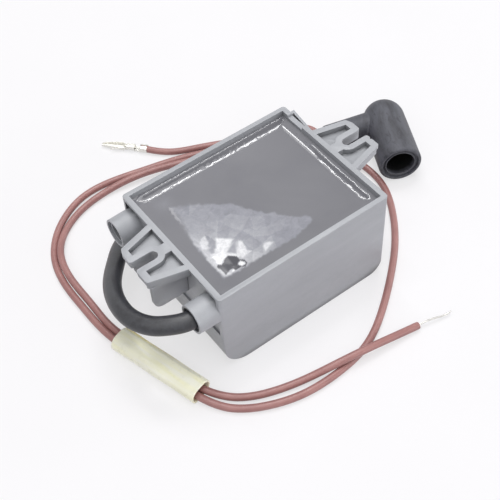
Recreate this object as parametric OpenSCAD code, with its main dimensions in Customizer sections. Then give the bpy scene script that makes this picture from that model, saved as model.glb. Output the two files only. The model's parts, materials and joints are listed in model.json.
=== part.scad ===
// Ignition transformer, potted, with two feed leads, a high-tension cable and an electrode boot.
// Millimetres. Origin at the middle of the case's underside, X along its long side, Z up.
// The cable end of the case is at -X and the feed leads leave at +X.

/* [Case] */
// Length of the case over its end walls at the rim
case_length = 70; // [68.5:0.5:71.5]
// Width of the case over its long walls
case_width = 57; // [56:0.5:58.5]
// Height of the case from its underside to the rim
case_height = 38.5; // [38:0.5:40]
// Thickness of the two end walls
end_wall = 2; // [1.8:0.1:2.4]
// Thickness of the two long walls
side_wall = 1.8; // [1.4:0.1:2.2]
// Thickness of the floor
floor_thickness = 2; // [1.6:0.1:2.6]
// How far each end wall leans in at the underside, for release from the mould
end_draft = 0.55; // [0.2:0.05:0.9]
// Radius of the bottom edge below the cable outlets
outlet_edge_r = 10; // [8:0.5:11]
// Radius of the bottom edge below the feed leads
feed_edge_r = 6; // [5:0.5:8]
// Depth of the open space between the flat resin surface and the rim
resin_drop = 3.5; // [3:0.25:4]
// How far the resin climbs the walls above its flat surface
resin_climb = 1.2; // [0.8:0.1:1.5]

/* [Mounting ears] */
// Reach of each ear beyond the end wall
ear_reach = 13.5; // [13:0.25:14.5]
// Thickness of the ears
ear_thickness = 4; // [3.5:0.25:4.5]
// Width of each ear where it joins the wall
ear_root = 24; // [23:0.5:25]
// Width of the screw slots
slot_width = 3.5; // [3.2:0.1:3.8]
// Length of the screw slots, measured from the ear's outer edge
slot_length = 9.4; // [8.8:0.1:10]
// Depth of the pockets in the top of the ears
pocket_depth = 2.2; // [1.6:0.1:2.6]
// Height of the webs under the ears
web_height = 11; // [9:0.5:12]

/* [Cable outlets] */
// Distance of each outlet's middle line from the outside of the long wall beside it
outlet_inset = 5.6; // [5.6:0.05:5.8]
// Height of the outlet sleeves' middle above the underside
outlet_height = 29.4; // [28.8:0.1:29.4]
// Reach of the outlet sleeves beyond the end wall
outlet_reach = 7.5; // [7:0.25:8]
// Wall of the outlet sleeves at their mouth
outlet_wall = 0.85; // [0.75:0.05:0.9]
// Gap all round between the cable and the mouth of its sleeve
outlet_gap = 1.15; // [1:0.05:1.2]

/* [Lead duct] */
// Inside depth of the duct over the feed leads
duct_depth = 3.5; // [3.4:0.05:3.8]
// Wall of the duct
duct_wall = 1; // [0.8:0.1:1.2]
// Height of the duct's open lower end above the underside
duct_foot = 20; // [19.5:0.25:21]

/* [Cable and boot] */
// Diameter of the high-tension cable
cable_d = 6.5; // [6.4:0.05:6.5]
// Outside diameter of the boot
boot_d = 16.8; // [16.4:0.1:17]
// Bore of the boot's mouth
boot_bore_d = 10.8; // [10.4:0.1:11.2]
// Length of the boot from its mouth to the middle of its round end
boot_length = 25.3; // [24.5:0.1:26]

/* [Feed leads] */
// Diameter of the feed leads over their insulation
lead_d = 2.7; // [2.6:0.05:2.7]
// Width of the flattened sleeve over the feed leads
sleeve_width = 9.4; // [9.4:0.1:9.8]
// Height of the flattened sleeve over the feed leads
sleeve_height = 7; // [7:0.1:7.4]
// Length of the flattened sleeve
sleeve_length = 36.4; // [34:0.2:38]

/* [Hidden] */

// Rounding of large and small circles, and a small overlap for clean cuts
$fn = 48;
small_fn = 24;
wire_fn = 16;
eps = 0.1;
// Clearance of parts that slide or sit in one another
fit_gap = 0.05;

half_l = case_length / 2;
half_w = case_width / 2;
// Inside half sizes of the case
in_x = half_l - end_wall;
in_y = half_w - side_wall;
resin_top = case_height - resin_drop;
draft_angle = atan(end_draft / case_height);

// Rounding of the upright outer corners
corner_r = 1.3;

// Recessed panel of the outlet end
panel_depth = 1;
panel_post = 2;
panel_lip = 1.2;
panel_foot = 17.6;

// Ears: outer edges, chamfer on one outer corner, borders of the pockets
ear_x = half_l + ear_reach;
ear_tip_far = 8.5;
ear_tip_near = 8.3;
ear_chamfer = 2.4;
ear_round = 1.1;
ear_border = 2.4;
pocket_end = 2.5;
slot_border = 2.3;
land_half = 2.1;
slot_r = slot_width / 2;
slot_x = ear_x - slot_length + slot_r;
web_thickness = 1.5;
web_near_y = 7.9;
web_far_y = 6.9;
web_near_reach = 12.4;
web_far_reach = 10;
web_corner_r = 3.5;
// The upper layer of each ear stands out beyond the lower one along the parting line, and the
// underside of the ear at the outlets rises towards its outer edge
ear_upper = 1.3;
ear_step = 0.35;
ear_relief = 1.2;
gate_r = 0.55;
gate_y = -4;

// Outlet sleeves: a shallow wide mouth, then a bore that the cable fits
outlet_y = half_w - outlet_inset;
outlet_mouth_r = cable_d / 2 + outlet_gap;
outlet_mouth_depth = 1;
outlet_r = outlet_mouth_r + outlet_wall;
outlet_root_r = outlet_r + 0.2;
cable_gap = 0.1;
outlet_bore_r = cable_d / 2 + cable_gap;
outlet_x = half_l + outlet_reach;
// Each sleeve's bore ends on a step that the cable seats on. A closer bore goes on to the
// collar of the contact pin, and the pin itself passes the wall.
outlet_seat = 5.5;
seat_x = outlet_x - outlet_seat;
step_r = 2.6;
collar_r = 2.3;
collar_length = 0.6;
collar_x = seat_x - 1.9;
pin_r = 1.4;
pin_bore_r = pin_r + fit_gap;
shelf_x = half_l - panel_depth;
pin_inner_x = in_x - 2;

// Lead duct: ends along Y, its sloping upper edge, the rim notch above it
duct_inset = 0.2;
duct_length = 14.3;
duct_y1 = half_w - duct_inset;
duct_y0 = duct_y1 - duct_length;
duct_drop_low = 7.9;
duct_drop_high = 4.5;
duct_top_low = case_height - duct_drop_low;
duct_top_high = case_height - duct_drop_high;
duct_x = half_l + duct_depth + duct_wall;
notch_length = 8.1;
notch_y0 = duct_y0 + 1.5;
notch_y1 = notch_y0 + notch_length;
notch_depth = 1.1;

// The feed leads pass the end wall in sloping bores, 40 degrees from upright
lead_r = lead_d / 2;
lead_gap = 0.1;
lead_bore_r = lead_r + lead_gap;
lead_slope = 40;
lead_inset = 5;
lead_pitch = 4.4;
lead_y_terminal = duct_y0 + lead_inset;
lead_y_bare = lead_y_terminal + lead_pitch;
lead_start_depth = 4.6;
lead_start_z = resin_top - lead_start_depth;
lead_start_x = half_l - 1.6;

// Resin meniscus: width at the walls and the arc that joins the flat to the wall
meniscus = 5;
meniscus_r = (meniscus * meniscus + resin_climb * resin_climb) / (2 * resin_climb);

// Coil pack, along Y
coil_x = -17;
coil_z = 16;
core_r = 5;
core_cover = 2.7;
core_half = in_y - core_cover;
core_stub = 4;
primary_in_r = core_r + fit_gap;
primary_tube_r = 6.2;
primary_wind_r = 7.4;
primary_flange_r = 7.8;
primary_half = core_half - core_stub;
secondary_in_r = primary_flange_r + fit_gap;
secondary_tube_r = 9;
secondary_wind_r = 12.4;
coil_flange_r = 13;
flange_thickness = 1;
sections = 6;
tape_thickness = 0.4;
coil_pack_r = coil_flange_r + tape_thickness;
section_pitch = (2 * primary_half - flange_thickness) / sections;

// Enamelled and hook-up wires, clear of the bobbins' end flanges
wire_r = 0.5;
wire_gap = 0.1;
hookup_y = primary_half + flange_thickness + wire_gap + wire_r;
hookup_x = 6;

// Circuit board with its parts hanging below it
board_x0 = 2;
board_x1 = in_x - 2;
board_mid = (board_x0 + board_x1) / 2;
board_edge = 2.4;
board_half_y = hookup_y + board_edge;
board_depth = 10.6;
board_z = resin_top - board_depth;
board_thickness = 1.6;
board_top = board_z + board_thickness;
leg_r = 0.4;
leg_hole_r = leg_r + fit_gap;
leg_stub = 1;

// Parts on the board: place along Y, reach of the legs, size of the body, depth of its middle
capacitor_y = -17.5;
capacitor_pitch = 7.5;
capacitor_length = 18;
capacitor_width = 9;
capacitor_height = 16.2;
capacitor_gap = 0.2;
diode_ys = [-8, -3];
diode_pitch = 5;
diode_half = 2.6;
diode_r = 1.35;
diode_depth = 3;
dropper_y = 4;
dropper_pitch = 9;
dropper_half = 6.5;
dropper_r = 2.6;
dropper_depth = 3.8;
bleed_y = 11;
bleed_pitch = 5;
bleed_half = 3.3;
bleed_r = 1.25;
bleed_depth = 2.8;
switch_y = 18.5;
switch_pitch = 2.54;
switch_width = 10;
switch_thickness = 4.4;
switch_length = 9;
switch_leg = 3.4;
switch_tab = 6;
switch_tab_thickness = 1.3;

// Boot: mouth centre on the floor plane, the way the mouth faces, and the stem
boot_r = boot_d / 2;
boot_mouth = [69, -0.3, boot_r];
boot_heading = -116.8;
boot_bore_r = boot_bore_d / 2;
boot_bore_depth = 20;
boot_chamber_r = 4.2;
boot_chamber_depth = 29;
boot_groove_r = 6.5;
boot_groove_width = 0.9;
boot_groove_depth = 0.8;
boot_lip_depth = 0.4;
stem_behind = 25.4;
stem_heading = -14.7;
stem_length = 25.4;
stem_edge_r = 0.8;
cable_grip = 0.05;
stem_bore_r = cable_d / 2 + cable_grip;
stem_wall = 1.9;
stem_r = stem_bore_r + stem_wall;
boot_back = [boot_mouth[0] - stem_behind * cos(boot_heading),
  boot_mouth[1] - stem_behind * sin(boot_heading), boot_r];
// The cable ends inside the stem, this far from the boot's own axis
cable_end = 11.3;
// A point on the stem's axis, at distance s from the boot's axis
function stem_point(s) = boot_back - s * [cos(stem_heading), sin(stem_heading), 0];

// Flattened sleeve lying on the floor: its left end and heading
sleeve_start = [-57.7, 2.6];
sleeve_heading = -74.4;
sleeve_wall = 0.7;

// Crimp terminal on the end of the terminal lead
terminal_heading = 131.6;
terminal_plate = 0.35;
terminal_z = lead_r + terminal_plate + fit_gap;
terminal_at = [-1, 77.2, terminal_z];

// Route of the high-tension cable, from the outlet sleeve round the case and into the boot
cable_route = [
  [-seat_x - fit_gap, -outlet_y, outlet_height],
  [-seat_x - 2, -outlet_y, outlet_height],
  [-outlet_x + 1, -outlet_y, outlet_height],
  [-44.8, -22.3, 29.4],
  [-48.8, -20.2, 29.1],
  [-52.7, -16.8, 28.3],
  [-55.3, -12.4, 27.4],
  [-56.6, -7.2, 26.3],
  [-56.4, -1, 24.9],
  [-54.9, 5.2, 22.7],
  [-52.2, 11.7, 20],
  [-48.6, 17.7, 17.2],
  [-44.2, 23.7, 14.4],
  [-39.2, 29.8, 11.6],
  [-31.6, 35.4, 8.8],
  [-19, 39.8, 5.4],
  [-5, 41.6, 3.8],
  [10, 41.4, 3.4],
  [24, 39.4, 3.9],
  [37, 35.6, 5.6],
  [48, 31.5, 7.6],
  stem_point(stem_length + 0.6),
  stem_point(cable_end)];

// Route of the lead that carries the crimp terminal
terminal_route = [
  [lead_start_x, lead_y_terminal, lead_start_z],
  [half_l + 0.9, lead_y_terminal, lead_start_z - 3],
  [half_l + 1.9, lead_y_terminal + 0.3, lead_start_z - 7.4],
  [37.4, 21, 17.4],
  [40.2, 26.5, 12.9],
  [41.9, 34.8, 11.3],
  [40, 43.4, 7.6],
  [33.4, 50.8, 2.8],
  [22, 57.2, 1.4],
  [7, 63, 1.4],
  [-8, 66.8, 1.4],
  [-22, 69.7, 1.4],
  [-33.4, 69.4, 1.4],
  [-43, 65.4, 1.4],
  [-51.4, 58.6, 1.4],
  [-57.2, 50, 1.4],
  [-60.3, 38.2, 1.4],
  [-60.6, 23.4, 1.4],
  [-59.9, 9, 1.8],
  [-56.5, -6.4, 2.3],
  [-53, -18.9, 2.3],
  [-49.1, -32.8, 2.3],
  [-43.5, -41.9, 1.4],
  [-34, -48.6, 1.4],
  [-21.5, -52.8, 1.4],
  [-7, -53.6, 1.4],
  [7.5, -51.2, 1.4],
  [21, -44, 1.4],
  [34, -34.2, 1.4],
  [46, -23.2, 1.4],
  [55.8, -10.6, 1.4],
  [61.6, 2, 1.4],
  [61.8, 12, 2.2],
  [57.6, 18.6, 6.5],
  [53, 24.8, 11.7],
  [51.2, 31.3, 14],
  [48.3, 39.4, 10.9],
  [38, 51.6, 2.6],
  [19, 62.3, 1.4],
  [6.5, 68.8, 1.4],
  terminal_at];

// Route of the lead with the bare end
bare_route = [
  [lead_start_x, lead_y_bare, lead_start_z],
  [half_l + 0.9, lead_y_bare, lead_start_z - 3],
  [half_l + 1.9, lead_y_bare + 0.3, lead_start_z - 7.4],
  [37.3, 25.9, 16.2],
  [37.4, 32.7, 11.4],
  [35.7, 41.2, 8.7],
  [30, 48.8, 3.6],
  [19, 55, 1.8],
  [3, 60.6, 2.6],
  [-12, 64.4, 2.8],
  [-26, 65.8, 1.6],
  [-38, 63.6, 1.4],
  [-48.4, 57.6, 1.6],
  [-55, 48.6, 2.8],
  [-57.7, 37.4, 2.8],
  [-57.6, 23, 2],
  [-57.3, 10, 2.1],
  [-55.4, 0.8, 2.4],
  [-51.3, -13.4, 2.3],
  [-46.1, -31.9, 2.3],
  [-39.5, -40, 1.4],
  [-30, -45.3, 1.4],
  [-17, -49, 1.7],
  [-5, -52, 3.9],
  [6, -53.8, 4.1],
  [16.5, -55, 2.8],
  [27, -56.2, 1.5]];

// Bare strands beyond the insulation
strand_r = 0.5;
strand_route = [
  [27.1, -56.2, 1.7],
  [30.5, -56.8, 1.9],
  [34.5, -57.9, 1.5],
  [37.5, -58.6, 1.2],
  [40.5, -58.8, 1.6]];

// Unit vector
function unit(v) = v / norm(v);
// Points round the middle corner of three plan points, rounded with radius r
function half_corner(p) = acos(unit(p[0] - p[1]) * unit(p[2] - p[1])) / 2;
function corner_centre(p, r) =
  p[1] + unit(unit(p[0] - p[1]) + unit(p[2] - p[1])) * r / sin(half_corner(p));
function corner_reach(p, r) = r / tan(half_corner(p));
function corner_points(p, r) =
  let(
    centre = corner_centre(p, r),
    first = p[1] + unit(p[0] - p[1]) * corner_reach(p, r) - centre,
    last = p[1] + unit(p[2] - p[1]) * corner_reach(p, r) - centre
  )
  [for (i = [0 : 6]) centre + r * unit(first * (6 - i) + last * i)];
// Direction of a route at point i
function way(p, i) = unit(p[min(i + 1, len(p) - 1)] - p[max(i - 1, 0)]);
// Side vectors carried along the route without twist
function side(p, i, last) = unit(last - way(p, i) * (last * way(p, i)));
function sides(p) = [
  for (i = 0, s = side(p, 0, [0.1, 1, 0.2]); i < len(p); i = i + 1,
    s = side(p, min(i, len(p) - 1), s)) s];
// Points of the ring round point i
function ring(p, s, i, r, n) = [
  for (k = [0 : n - 1])
    p[i] + r * cos(360 * k / n) * s[i] + r * sin(360 * k / n) * cross(way(p, i), s[i])];
function tube_points(p, s, r, n) = [
  for (i = [0 : len(p) - 1]) each ring(p, s, i, r, n)];
function tube_faces(m, n) = concat(
  [[for (k = [0 : n - 1]) k]],
  [for (i = [0 : m - 2], k = [0 : n - 1])
    [i * n + k, (i + 1) * n + k, (i + 1) * n + (k + 1) % n]],
  [for (i = [0 : m - 2], k = [0 : n - 1])
    [i * n + k, (i + 1) * n + (k + 1) % n, i * n + (k + 1) % n]],
  [[for (k = [n - 1 : -1 : 0]) (m - 1) * n + k]]);

// A tube swept along a route
module tube(route, r, n) {
  polyhedron(points = tube_points(route, sides(route), r, n), faces = tube_faces(len(route), n));
}

// A cylinder along X, from x0 to x1
module rod_x(x0, x1, y, z, r) {
  translate([x0, y, z])
    rotate([0, 90, 0])
      cylinder(r = r, h = x1 - x0);
}

// A cylinder along Y, from y0 to y1
module rod_y(x, y0, y1, z, r) {
  translate([x, y0, z])
    rotate([-90, 0, 0])
      cylinder(r = r, h = y1 - y0);
}

// A cylinder along Z, from z0 to z1
module rod_z(x, y, z0, z1, r) {
  translate([x, y, z0])
    cylinder(r = r, h = z1 - z0);
}

// End view of the case outline, shrunk by end and bottom amounts, up to height top
module end_view(in_end, in_floor, r_outlet, r_feed, top) {
  c = cos(draft_angle);
  s = sin(draft_angle);
  xo = -half_l + in_end + tan(draft_angle) * (case_height - in_floor - r_outlet) + r_outlet / c;
  xf = half_l - in_end - tan(draft_angle) * (case_height - in_floor - r_feed) - r_feed / c;
  rim = tan(draft_angle) * (case_height - top);
  union() {
    translate([xo, in_floor + r_outlet])
      circle(r = r_outlet);
    translate([xf, in_floor + r_feed])
      circle(r = r_feed);
    polygon([
      [-half_l + in_end + rim, top],
      [xo - r_outlet * c, in_floor + r_outlet - r_outlet * s],
      [xo, in_floor + r_outlet],
      [xo, in_floor],
      [xf, in_floor],
      [xf, in_floor + r_feed],
      [xf + r_feed * c, in_floor + r_feed - r_feed * s],
      [half_l - in_end - rim, top]]);
  }
}

// The outside and the cavity of the case
module case_block() {
  intersection() {
    translate([0, half_w, 0])
      rotate([90, 0, 0])
        linear_extrude(height = case_width)
          end_view(0, 0, outlet_edge_r, feed_edge_r, case_height);
    translate([0, 0, -1])
      linear_extrude(height = case_height + 2)
        case_plan();
  }
}

// Plan of the case with its rounded upright corners
module case_plan() {
  union() {
    square([case_length - 2 * corner_r, case_width], center = true);
    square([case_length, case_width - 2 * corner_r], center = true);
    for (x = [-1, 1], y = [-1, 1])
      translate([x * (half_l - corner_r), y * (half_w - corner_r)])
        circle(r = corner_r, $fn = 32);
  }
}

module cavity(top) {
  translate([0, in_y, 0])
    rotate([90, 0, 0])
      linear_extrude(height = 2 * in_y)
        end_view(end_wall, floor_thickness, outlet_edge_r - end_wall,
          feed_edge_r - end_wall, top);
}

// Plan of one ear, towards +X, as far in as the wall and inset all round by edge
module ear_plan(edge) {
  near = [
    [half_l, edge - ear_root / 2],
    [ear_x - edge, edge - ear_tip_near],
    [ear_x - edge, ear_tip_far - ear_chamfer]];
  far = [
    [ear_x - edge, ear_tip_far - ear_chamfer - edge],
    [ear_x - 1 - edge, ear_tip_far + 0.2 - edge],
    [half_l, ear_root / 2 - edge]];
  polygon(concat(
    [[half_l - 0.6, edge - ear_root / 2], near[0]],
    corner_points(near, ear_round),
    [far[0]],
    corner_points(far, ear_round),
    [far[2], [half_l - 0.6, ear_root / 2 - edge]]));
}

module ear_pocket_plan() {
  slope = (ear_root / 2 - ear_tip_far) / ear_reach;
  reach = ear_x - pocket_end;
  difference() {
    polygon([
      [half_l, ear_border - ear_root / 2],
      [reach, ear_border - ear_root / 2 + slope * (reach - half_l)],
      [reach, ear_root / 2 - ear_border - slope * (reach - half_l)],
      [half_l, ear_root / 2 - ear_border]]);
    translate([slot_x, 0])
      circle(r = slot_r + slot_border);
    translate([slot_x, -slot_r - slot_border])
      square([slot_length, slot_width + 2 * slot_border]);
    translate([half_l - 1, -land_half])
      square([slot_length, 2 * land_half]);
  }
}

// Rounding of one side of the slot's mouth, as a shape to cut away
module slot_mouth() {
  difference() {
    translate([ear_x - ear_round, slot_r - 0.5])
      square([ear_round + 1, ear_round + 0.5]);
    translate([ear_x - ear_round, slot_r + ear_round])
      circle(r = ear_round, $fn = 32);
  }
}

// Wedge under the ear, between its webs, that thins it towards the outer edge
module ear_wedge() {
  translate([0, web_far_y - web_thickness / 2, 0])
    rotate([90, 0, 0])
      linear_extrude(height = web_near_y + web_far_y - web_thickness)
        polygon([
          [slot_x - 1.5, case_height - ear_thickness],
          [slot_x - 1.5, case_height - ear_thickness - 1],
          [ear_x + 1, case_height - ear_thickness - 1],
          [ear_x + 1, case_height - ear_thickness + ear_relief]]);
}

// Side view of one web under the ear
module web_side(reach) {
  top = case_height - ear_thickness;
  union() {
    translate([half_l - 0.8, top - web_height + web_corner_r])
      square([reach + 0.8, web_height - web_corner_r + 0.5]);
    translate([half_l - 0.8, top - web_height])
      square([reach + 0.8 - web_corner_r, web_height]);
    translate([half_l + reach - web_corner_r, top - web_height + web_corner_r])
      circle(r = web_corner_r, $fn = small_fn);
  }
}

module web(reach, y) {
  translate([0, y + web_thickness / 2, 0])
    rotate([90, 0, 0])
      linear_extrude(height = web_thickness)
        web_side(reach);
}

// One ear towards +X with slot, pockets and webs. The ear at the outlets has a second web and
// the rising underside, the other has the mark of the mould's gate.
module ear(at_outlets) {
  difference() {
    union() {
      translate([0, 0, case_height - ear_upper])
        linear_extrude(height = ear_upper)
          ear_plan(0);
      translate([0, 0, case_height - ear_thickness])
        linear_extrude(height = ear_thickness - ear_upper + eps)
          ear_plan(ear_step);
      web(web_far_reach, web_far_y);
      if (at_outlets)
        web(web_near_reach, -web_near_y);
    }
    if (at_outlets)
      ear_wedge();
    if (!at_outlets)
      translate([ear_x + 0.15, gate_y, case_height - ear_upper - 1])
        cylinder(r = gate_r, h = ear_upper + 2, $fn = small_fn);
    for (side = [0, 1])
      mirror([0, side, 0])
        translate([0, 0, case_height - ear_thickness - 1])
          linear_extrude(height = ear_thickness + 2)
            slot_mouth();
    translate([slot_x, 0, case_height - ear_thickness - web_height - 1])
      cylinder(r = slot_r, h = web_height + ear_thickness + 2, $fn = 32);
    translate([slot_x, -slot_r, case_height - ear_thickness - 1])
      cube([slot_length, slot_width, ear_thickness + 2]);
    translate([0, 0, case_height - pocket_depth])
      linear_extrude(height = pocket_depth + 1)
        ear_pocket_plan();
  }
}

// Sloping bores for the feed leads, from the inner end of each lead out through the wall
module lead_bore(y, r) {
  translate([lead_start_x, y, lead_start_z])
    rotate([0, 180 - lead_slope, 0])
      cylinder(r = r, h = 5, $fn = small_fn);
}

module case() {
  color([0.5, 0.51, 0.53])
  difference() {
    union() {
      difference() {
        case_block();
        translate([-half_l - 2, panel_post - half_w, panel_foot])
          cube([2 + panel_depth, case_width - 2 * panel_post,
            case_height - panel_lip - panel_foot]);
      }
      ear(false);
      mirror([1, 0, 0])
        ear(true);
      outlet_sleeve(outlet_y);
      outlet_sleeve(-outlet_y);
      lead_duct();
    }
    cavity(case_height + 1);
    rod_x(-outlet_x - 1, outlet_mouth_depth - outlet_x, outlet_y, outlet_height,
      outlet_mouth_r);
    rod_x(-outlet_x - 1, outlet_mouth_depth - outlet_x, -outlet_y, outlet_height,
      outlet_mouth_r);
    rod_x(-outlet_x - 1, -seat_x, outlet_y, outlet_height, outlet_bore_r);
    rod_x(-outlet_x - 1, -seat_x, -outlet_y, outlet_height, outlet_bore_r);
    rod_x(-outlet_x, -collar_x, outlet_y, outlet_height, step_r);
    rod_x(-outlet_x, -collar_x, -outlet_y, outlet_height, step_r);
    rod_x(-outlet_x, -in_x + 1, outlet_y, outlet_height, pin_bore_r);
    rod_x(-outlet_x, -in_x + 1, -outlet_y, outlet_height, pin_bore_r);
    lead_bore(lead_y_terminal, lead_bore_r);
    lead_bore(lead_y_bare, lead_bore_r);
    translate([in_x - 1, notch_y0, case_height - notch_depth])
      cube([end_wall + 2, notch_y1 - notch_y0, notch_depth + 1]);
  }
}

// Outside of one outlet sleeve, a little wider at its root so that it leaves the mould
module outlet_sleeve(y) {
  translate([-outlet_x, y, outlet_height])
    rotate([0, 90, 0])
      cylinder(r1 = outlet_r, r2 = outlet_root_r, h = outlet_x - shelf_x + 0.4);
}

// Duct over the feed leads: outer wall and two end walls, open above and below
module lead_duct() {
  difference() {
    translate([half_l - 1.6, 0, 0])
      rotate([90, 0, 90])
        linear_extrude(height = duct_depth + duct_wall + 1.6)
          polygon([
            [duct_y0, duct_foot],
            [duct_y1, duct_foot],
            [duct_y1, duct_top_high],
            [duct_y0, duct_top_low]]);
    translate([half_l - 1.2, duct_y0 + duct_wall, duct_foot - 1])
      cube([duct_depth + 1.2, duct_y1 - duct_y0 - 2 * duct_wall, duct_top_high]);
  }
}

// Space above the resin: flat in the middle, arcs up to the walls
module space_view(half, arc_r) {
  intersection() {
    translate([-half - 1, resin_top])
      square([2 * half + 2, resin_drop + 2]);
    union() {
      translate([meniscus - half, resin_top])
        square([2 * (half - meniscus), resin_drop + 2]);
      translate([meniscus - half, resin_top + arc_r])
        circle(r = arc_r);
      translate([half - meniscus, resin_top + arc_r])
        circle(r = arc_r);
    }
  }
}

module potting_resin() {
  color([0.55, 0.55, 0.57])
  difference() {
    cavity(resin_top + resin_climb);
    intersection() {
      translate([0, half_w, 0])
        rotate([90, 0, 0])
          linear_extrude(height = case_width)
            space_view(in_x, meniscus_r);
      translate([-half_l, 0, 0])
        rotate([90, 0, 90])
          linear_extrude(height = case_length)
            space_view(in_y, meniscus_r);
    }
    rod_y(coil_x, -primary_half - flange_thickness, primary_half + flange_thickness,
      coil_z, coil_pack_r);
    rod_y(coil_x, -core_half, core_half, coil_z, core_r);
    board_solid();
    capacitor_solid();
    diode_solid(diode_ys[0]);
    diode_solid(diode_ys[1]);
    dropper_solid();
    bleed_solid();
    switch_solid();
    primary_wires_solid();
    secondary_wire(1);
    secondary_wire(-1);
    lead_tail(lead_y_terminal);
    lead_tail(lead_y_bare);
    rod_x(-in_x - 1, -pin_inner_x, outlet_y, outlet_height, pin_r);
    rod_x(-in_x - 1, -pin_inner_x, -outlet_y, outlet_height, pin_r);
    lead_bore(lead_y_terminal, lead_bore_r);
    lead_bore(lead_y_bare, lead_bore_r);
  }
}

module magnetic_core() {
  color([0.25, 0.25, 0.27])
  rod_y(coil_x, -core_half, core_half, coil_z, core_r);
}

module primary_bobbin() {
  color([0.85, 0.84, 0.8])
  difference() {
    union() {
      rod_y(coil_x, -primary_half, primary_half, coil_z, primary_tube_r);
      rod_y(coil_x, -primary_half - flange_thickness, -primary_half, coil_z, primary_flange_r);
      rod_y(coil_x, primary_half, primary_half + flange_thickness, coil_z, primary_flange_r);
    }
    rod_y(coil_x, -core_half, core_half, coil_z, primary_in_r);
  }
}

module primary_winding() {
  color([0.72, 0.4, 0.2])
  difference() {
    rod_y(coil_x, -primary_half, primary_half, coil_z, primary_wind_r);
    rod_y(coil_x, -core_half, core_half, coil_z, primary_tube_r);
  }
}

module secondary_bobbin() {
  color([0.88, 0.87, 0.83])
  difference() {
    union() {
      rod_y(coil_x, -primary_half, primary_half, coil_z, secondary_tube_r);
      for (i = [0 : sections])
        rod_y(coil_x, -primary_half + i * section_pitch,
          -primary_half + i * section_pitch + flange_thickness, coil_z, coil_flange_r);
    }
    rod_y(coil_x, -core_half, core_half, coil_z, secondary_in_r);
  }
}

module secondary_winding() {
  color([0.7, 0.36, 0.18])
  for (i = [0 : sections - 1])
    difference() {
      rod_y(coil_x, -primary_half + i * section_pitch + flange_thickness,
        -primary_half + (i + 1) * section_pitch, coil_z, secondary_wind_r);
      rod_y(coil_x, -core_half, core_half, coil_z, secondary_tube_r);
    }
}

module insulation_tape() {
  color([0.85, 0.75, 0.3])
  difference() {
    rod_y(coil_x, -primary_half, primary_half, coil_z, coil_pack_r);
    rod_y(coil_x, -core_half, core_half, coil_z, coil_flange_r);
  }
}

// A wire leg up through the board
module leg(x, y, z0, r) {
  rod_z(x, y, z0, board_top + leg_stub, r, $fn = wire_fn);
}

// Legs of a part lying along X, and the bends of its wires
module axial_legs(y, z, half) {
  rod_x(board_mid - half - leg_r, board_mid + half + leg_r, y, z, leg_r, $fn = wire_fn);
  leg(board_mid - half, y, z - leg_r, leg_r);
  leg(board_mid + half, y, z - leg_r, leg_r);
}

// A part with a round body along X and a leg at each end
module axial_part(y, depth, r, half, pitch) {
  rod_x(board_mid - half, board_mid + half, y, board_z - depth, r, $fn = small_fn);
  axial_legs(y, board_z - depth, pitch);
}

module board_solid() {
  translate([board_x0, -board_half_y, board_z])
    cube([board_x1 - board_x0, 2 * board_half_y, board_thickness]);
}

module board_hole(x, y, r) {
  rod_z(x, y, board_z - 1, board_top + 1, r, $fn = wire_fn);
}

module circuit_board() {
  color([0.2, 0.42, 0.25])
  difference() {
    board_solid();
    for (x = [-diode_pitch, diode_pitch], y = diode_ys)
      board_hole(board_mid + x, y, leg_hole_r);
    for (x = [-dropper_pitch, dropper_pitch])
      board_hole(board_mid + x, dropper_y, leg_hole_r);
    for (x = [-bleed_pitch, bleed_pitch])
      board_hole(board_mid + x, bleed_y, leg_hole_r);
    for (x = [-capacitor_pitch, capacitor_pitch])
      board_hole(board_mid + x, capacitor_y, leg_hole_r);
    for (x = [-switch_pitch, 0, switch_pitch])
      board_hole(board_mid + x, switch_y, leg_hole_r);
    board_hole(hookup_x, hookup_y, wire_r + fit_gap);
    board_hole(hookup_x, -hookup_y, wire_r + fit_gap);
  }
}

module capacitor_solid() {
  translate([board_mid - capacitor_length / 2, capacitor_y - capacitor_width / 2,
    board_z - capacitor_gap - capacitor_height])
    cube([capacitor_length, capacitor_width, capacitor_height]);
  leg(board_mid - capacitor_pitch, capacitor_y, board_z - 1, leg_r);
  leg(board_mid + capacitor_pitch, capacitor_y, board_z - 1, leg_r);
}

module storage_capacitor() {
  color([0.75, 0.3, 0.15])
  capacitor_solid();
}

module diode_solid(y) {
  axial_part(y, diode_depth, diode_r, diode_half, diode_pitch);
}

module rectifier_diode() {
  color([0.15, 0.15, 0.16])
  diode_solid(diode_ys[0]);
}

module freewheel_diode() {
  color([0.15, 0.15, 0.16])
  diode_solid(diode_ys[1]);
}

module dropper_solid() {
  axial_part(dropper_y, dropper_depth, dropper_r, dropper_half, dropper_pitch);
}

module dropper_resistor() {
  color([0.6, 0.62, 0.6])
  dropper_solid();
}

module bleed_solid() {
  axial_part(bleed_y, bleed_depth, bleed_r, bleed_half, bleed_pitch);
}

module bleed_resistor() {
  color([0.8, 0.7, 0.5])
  bleed_solid();
}

module switch_solid() {
  top = board_z - switch_leg;
  back = switch_y + 2.5;
  translate([board_mid - switch_width / 2, back - switch_thickness, top - switch_length])
    cube([switch_width, switch_thickness, switch_length]);
  translate([board_mid - switch_width / 2, back - switch_tab_thickness,
    top - switch_length - switch_tab])
    cube([switch_width, switch_tab_thickness, switch_tab + eps]);
  for (x = [-switch_pitch, 0, switch_pitch])
    leg(board_mid + x, switch_y, top - 1, leg_r);
}

module trigger_switch() {
  color([0.12, 0.12, 0.13])
  switch_solid();
}

// Two hook-up wires from the board down and across to the ends of the primary
module hookup(side) {
  rod_z(hookup_x, side * hookup_y, coil_z - wire_r, board_top + leg_stub, wire_r, $fn = wire_fn);
  rod_x(coil_x + primary_tube_r, hookup_x + wire_r, side * hookup_y, coil_z, wire_r,
    $fn = wire_fn);
}

module primary_wires_solid() {
  hookup(1);
  hookup(-1);
}

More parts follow.
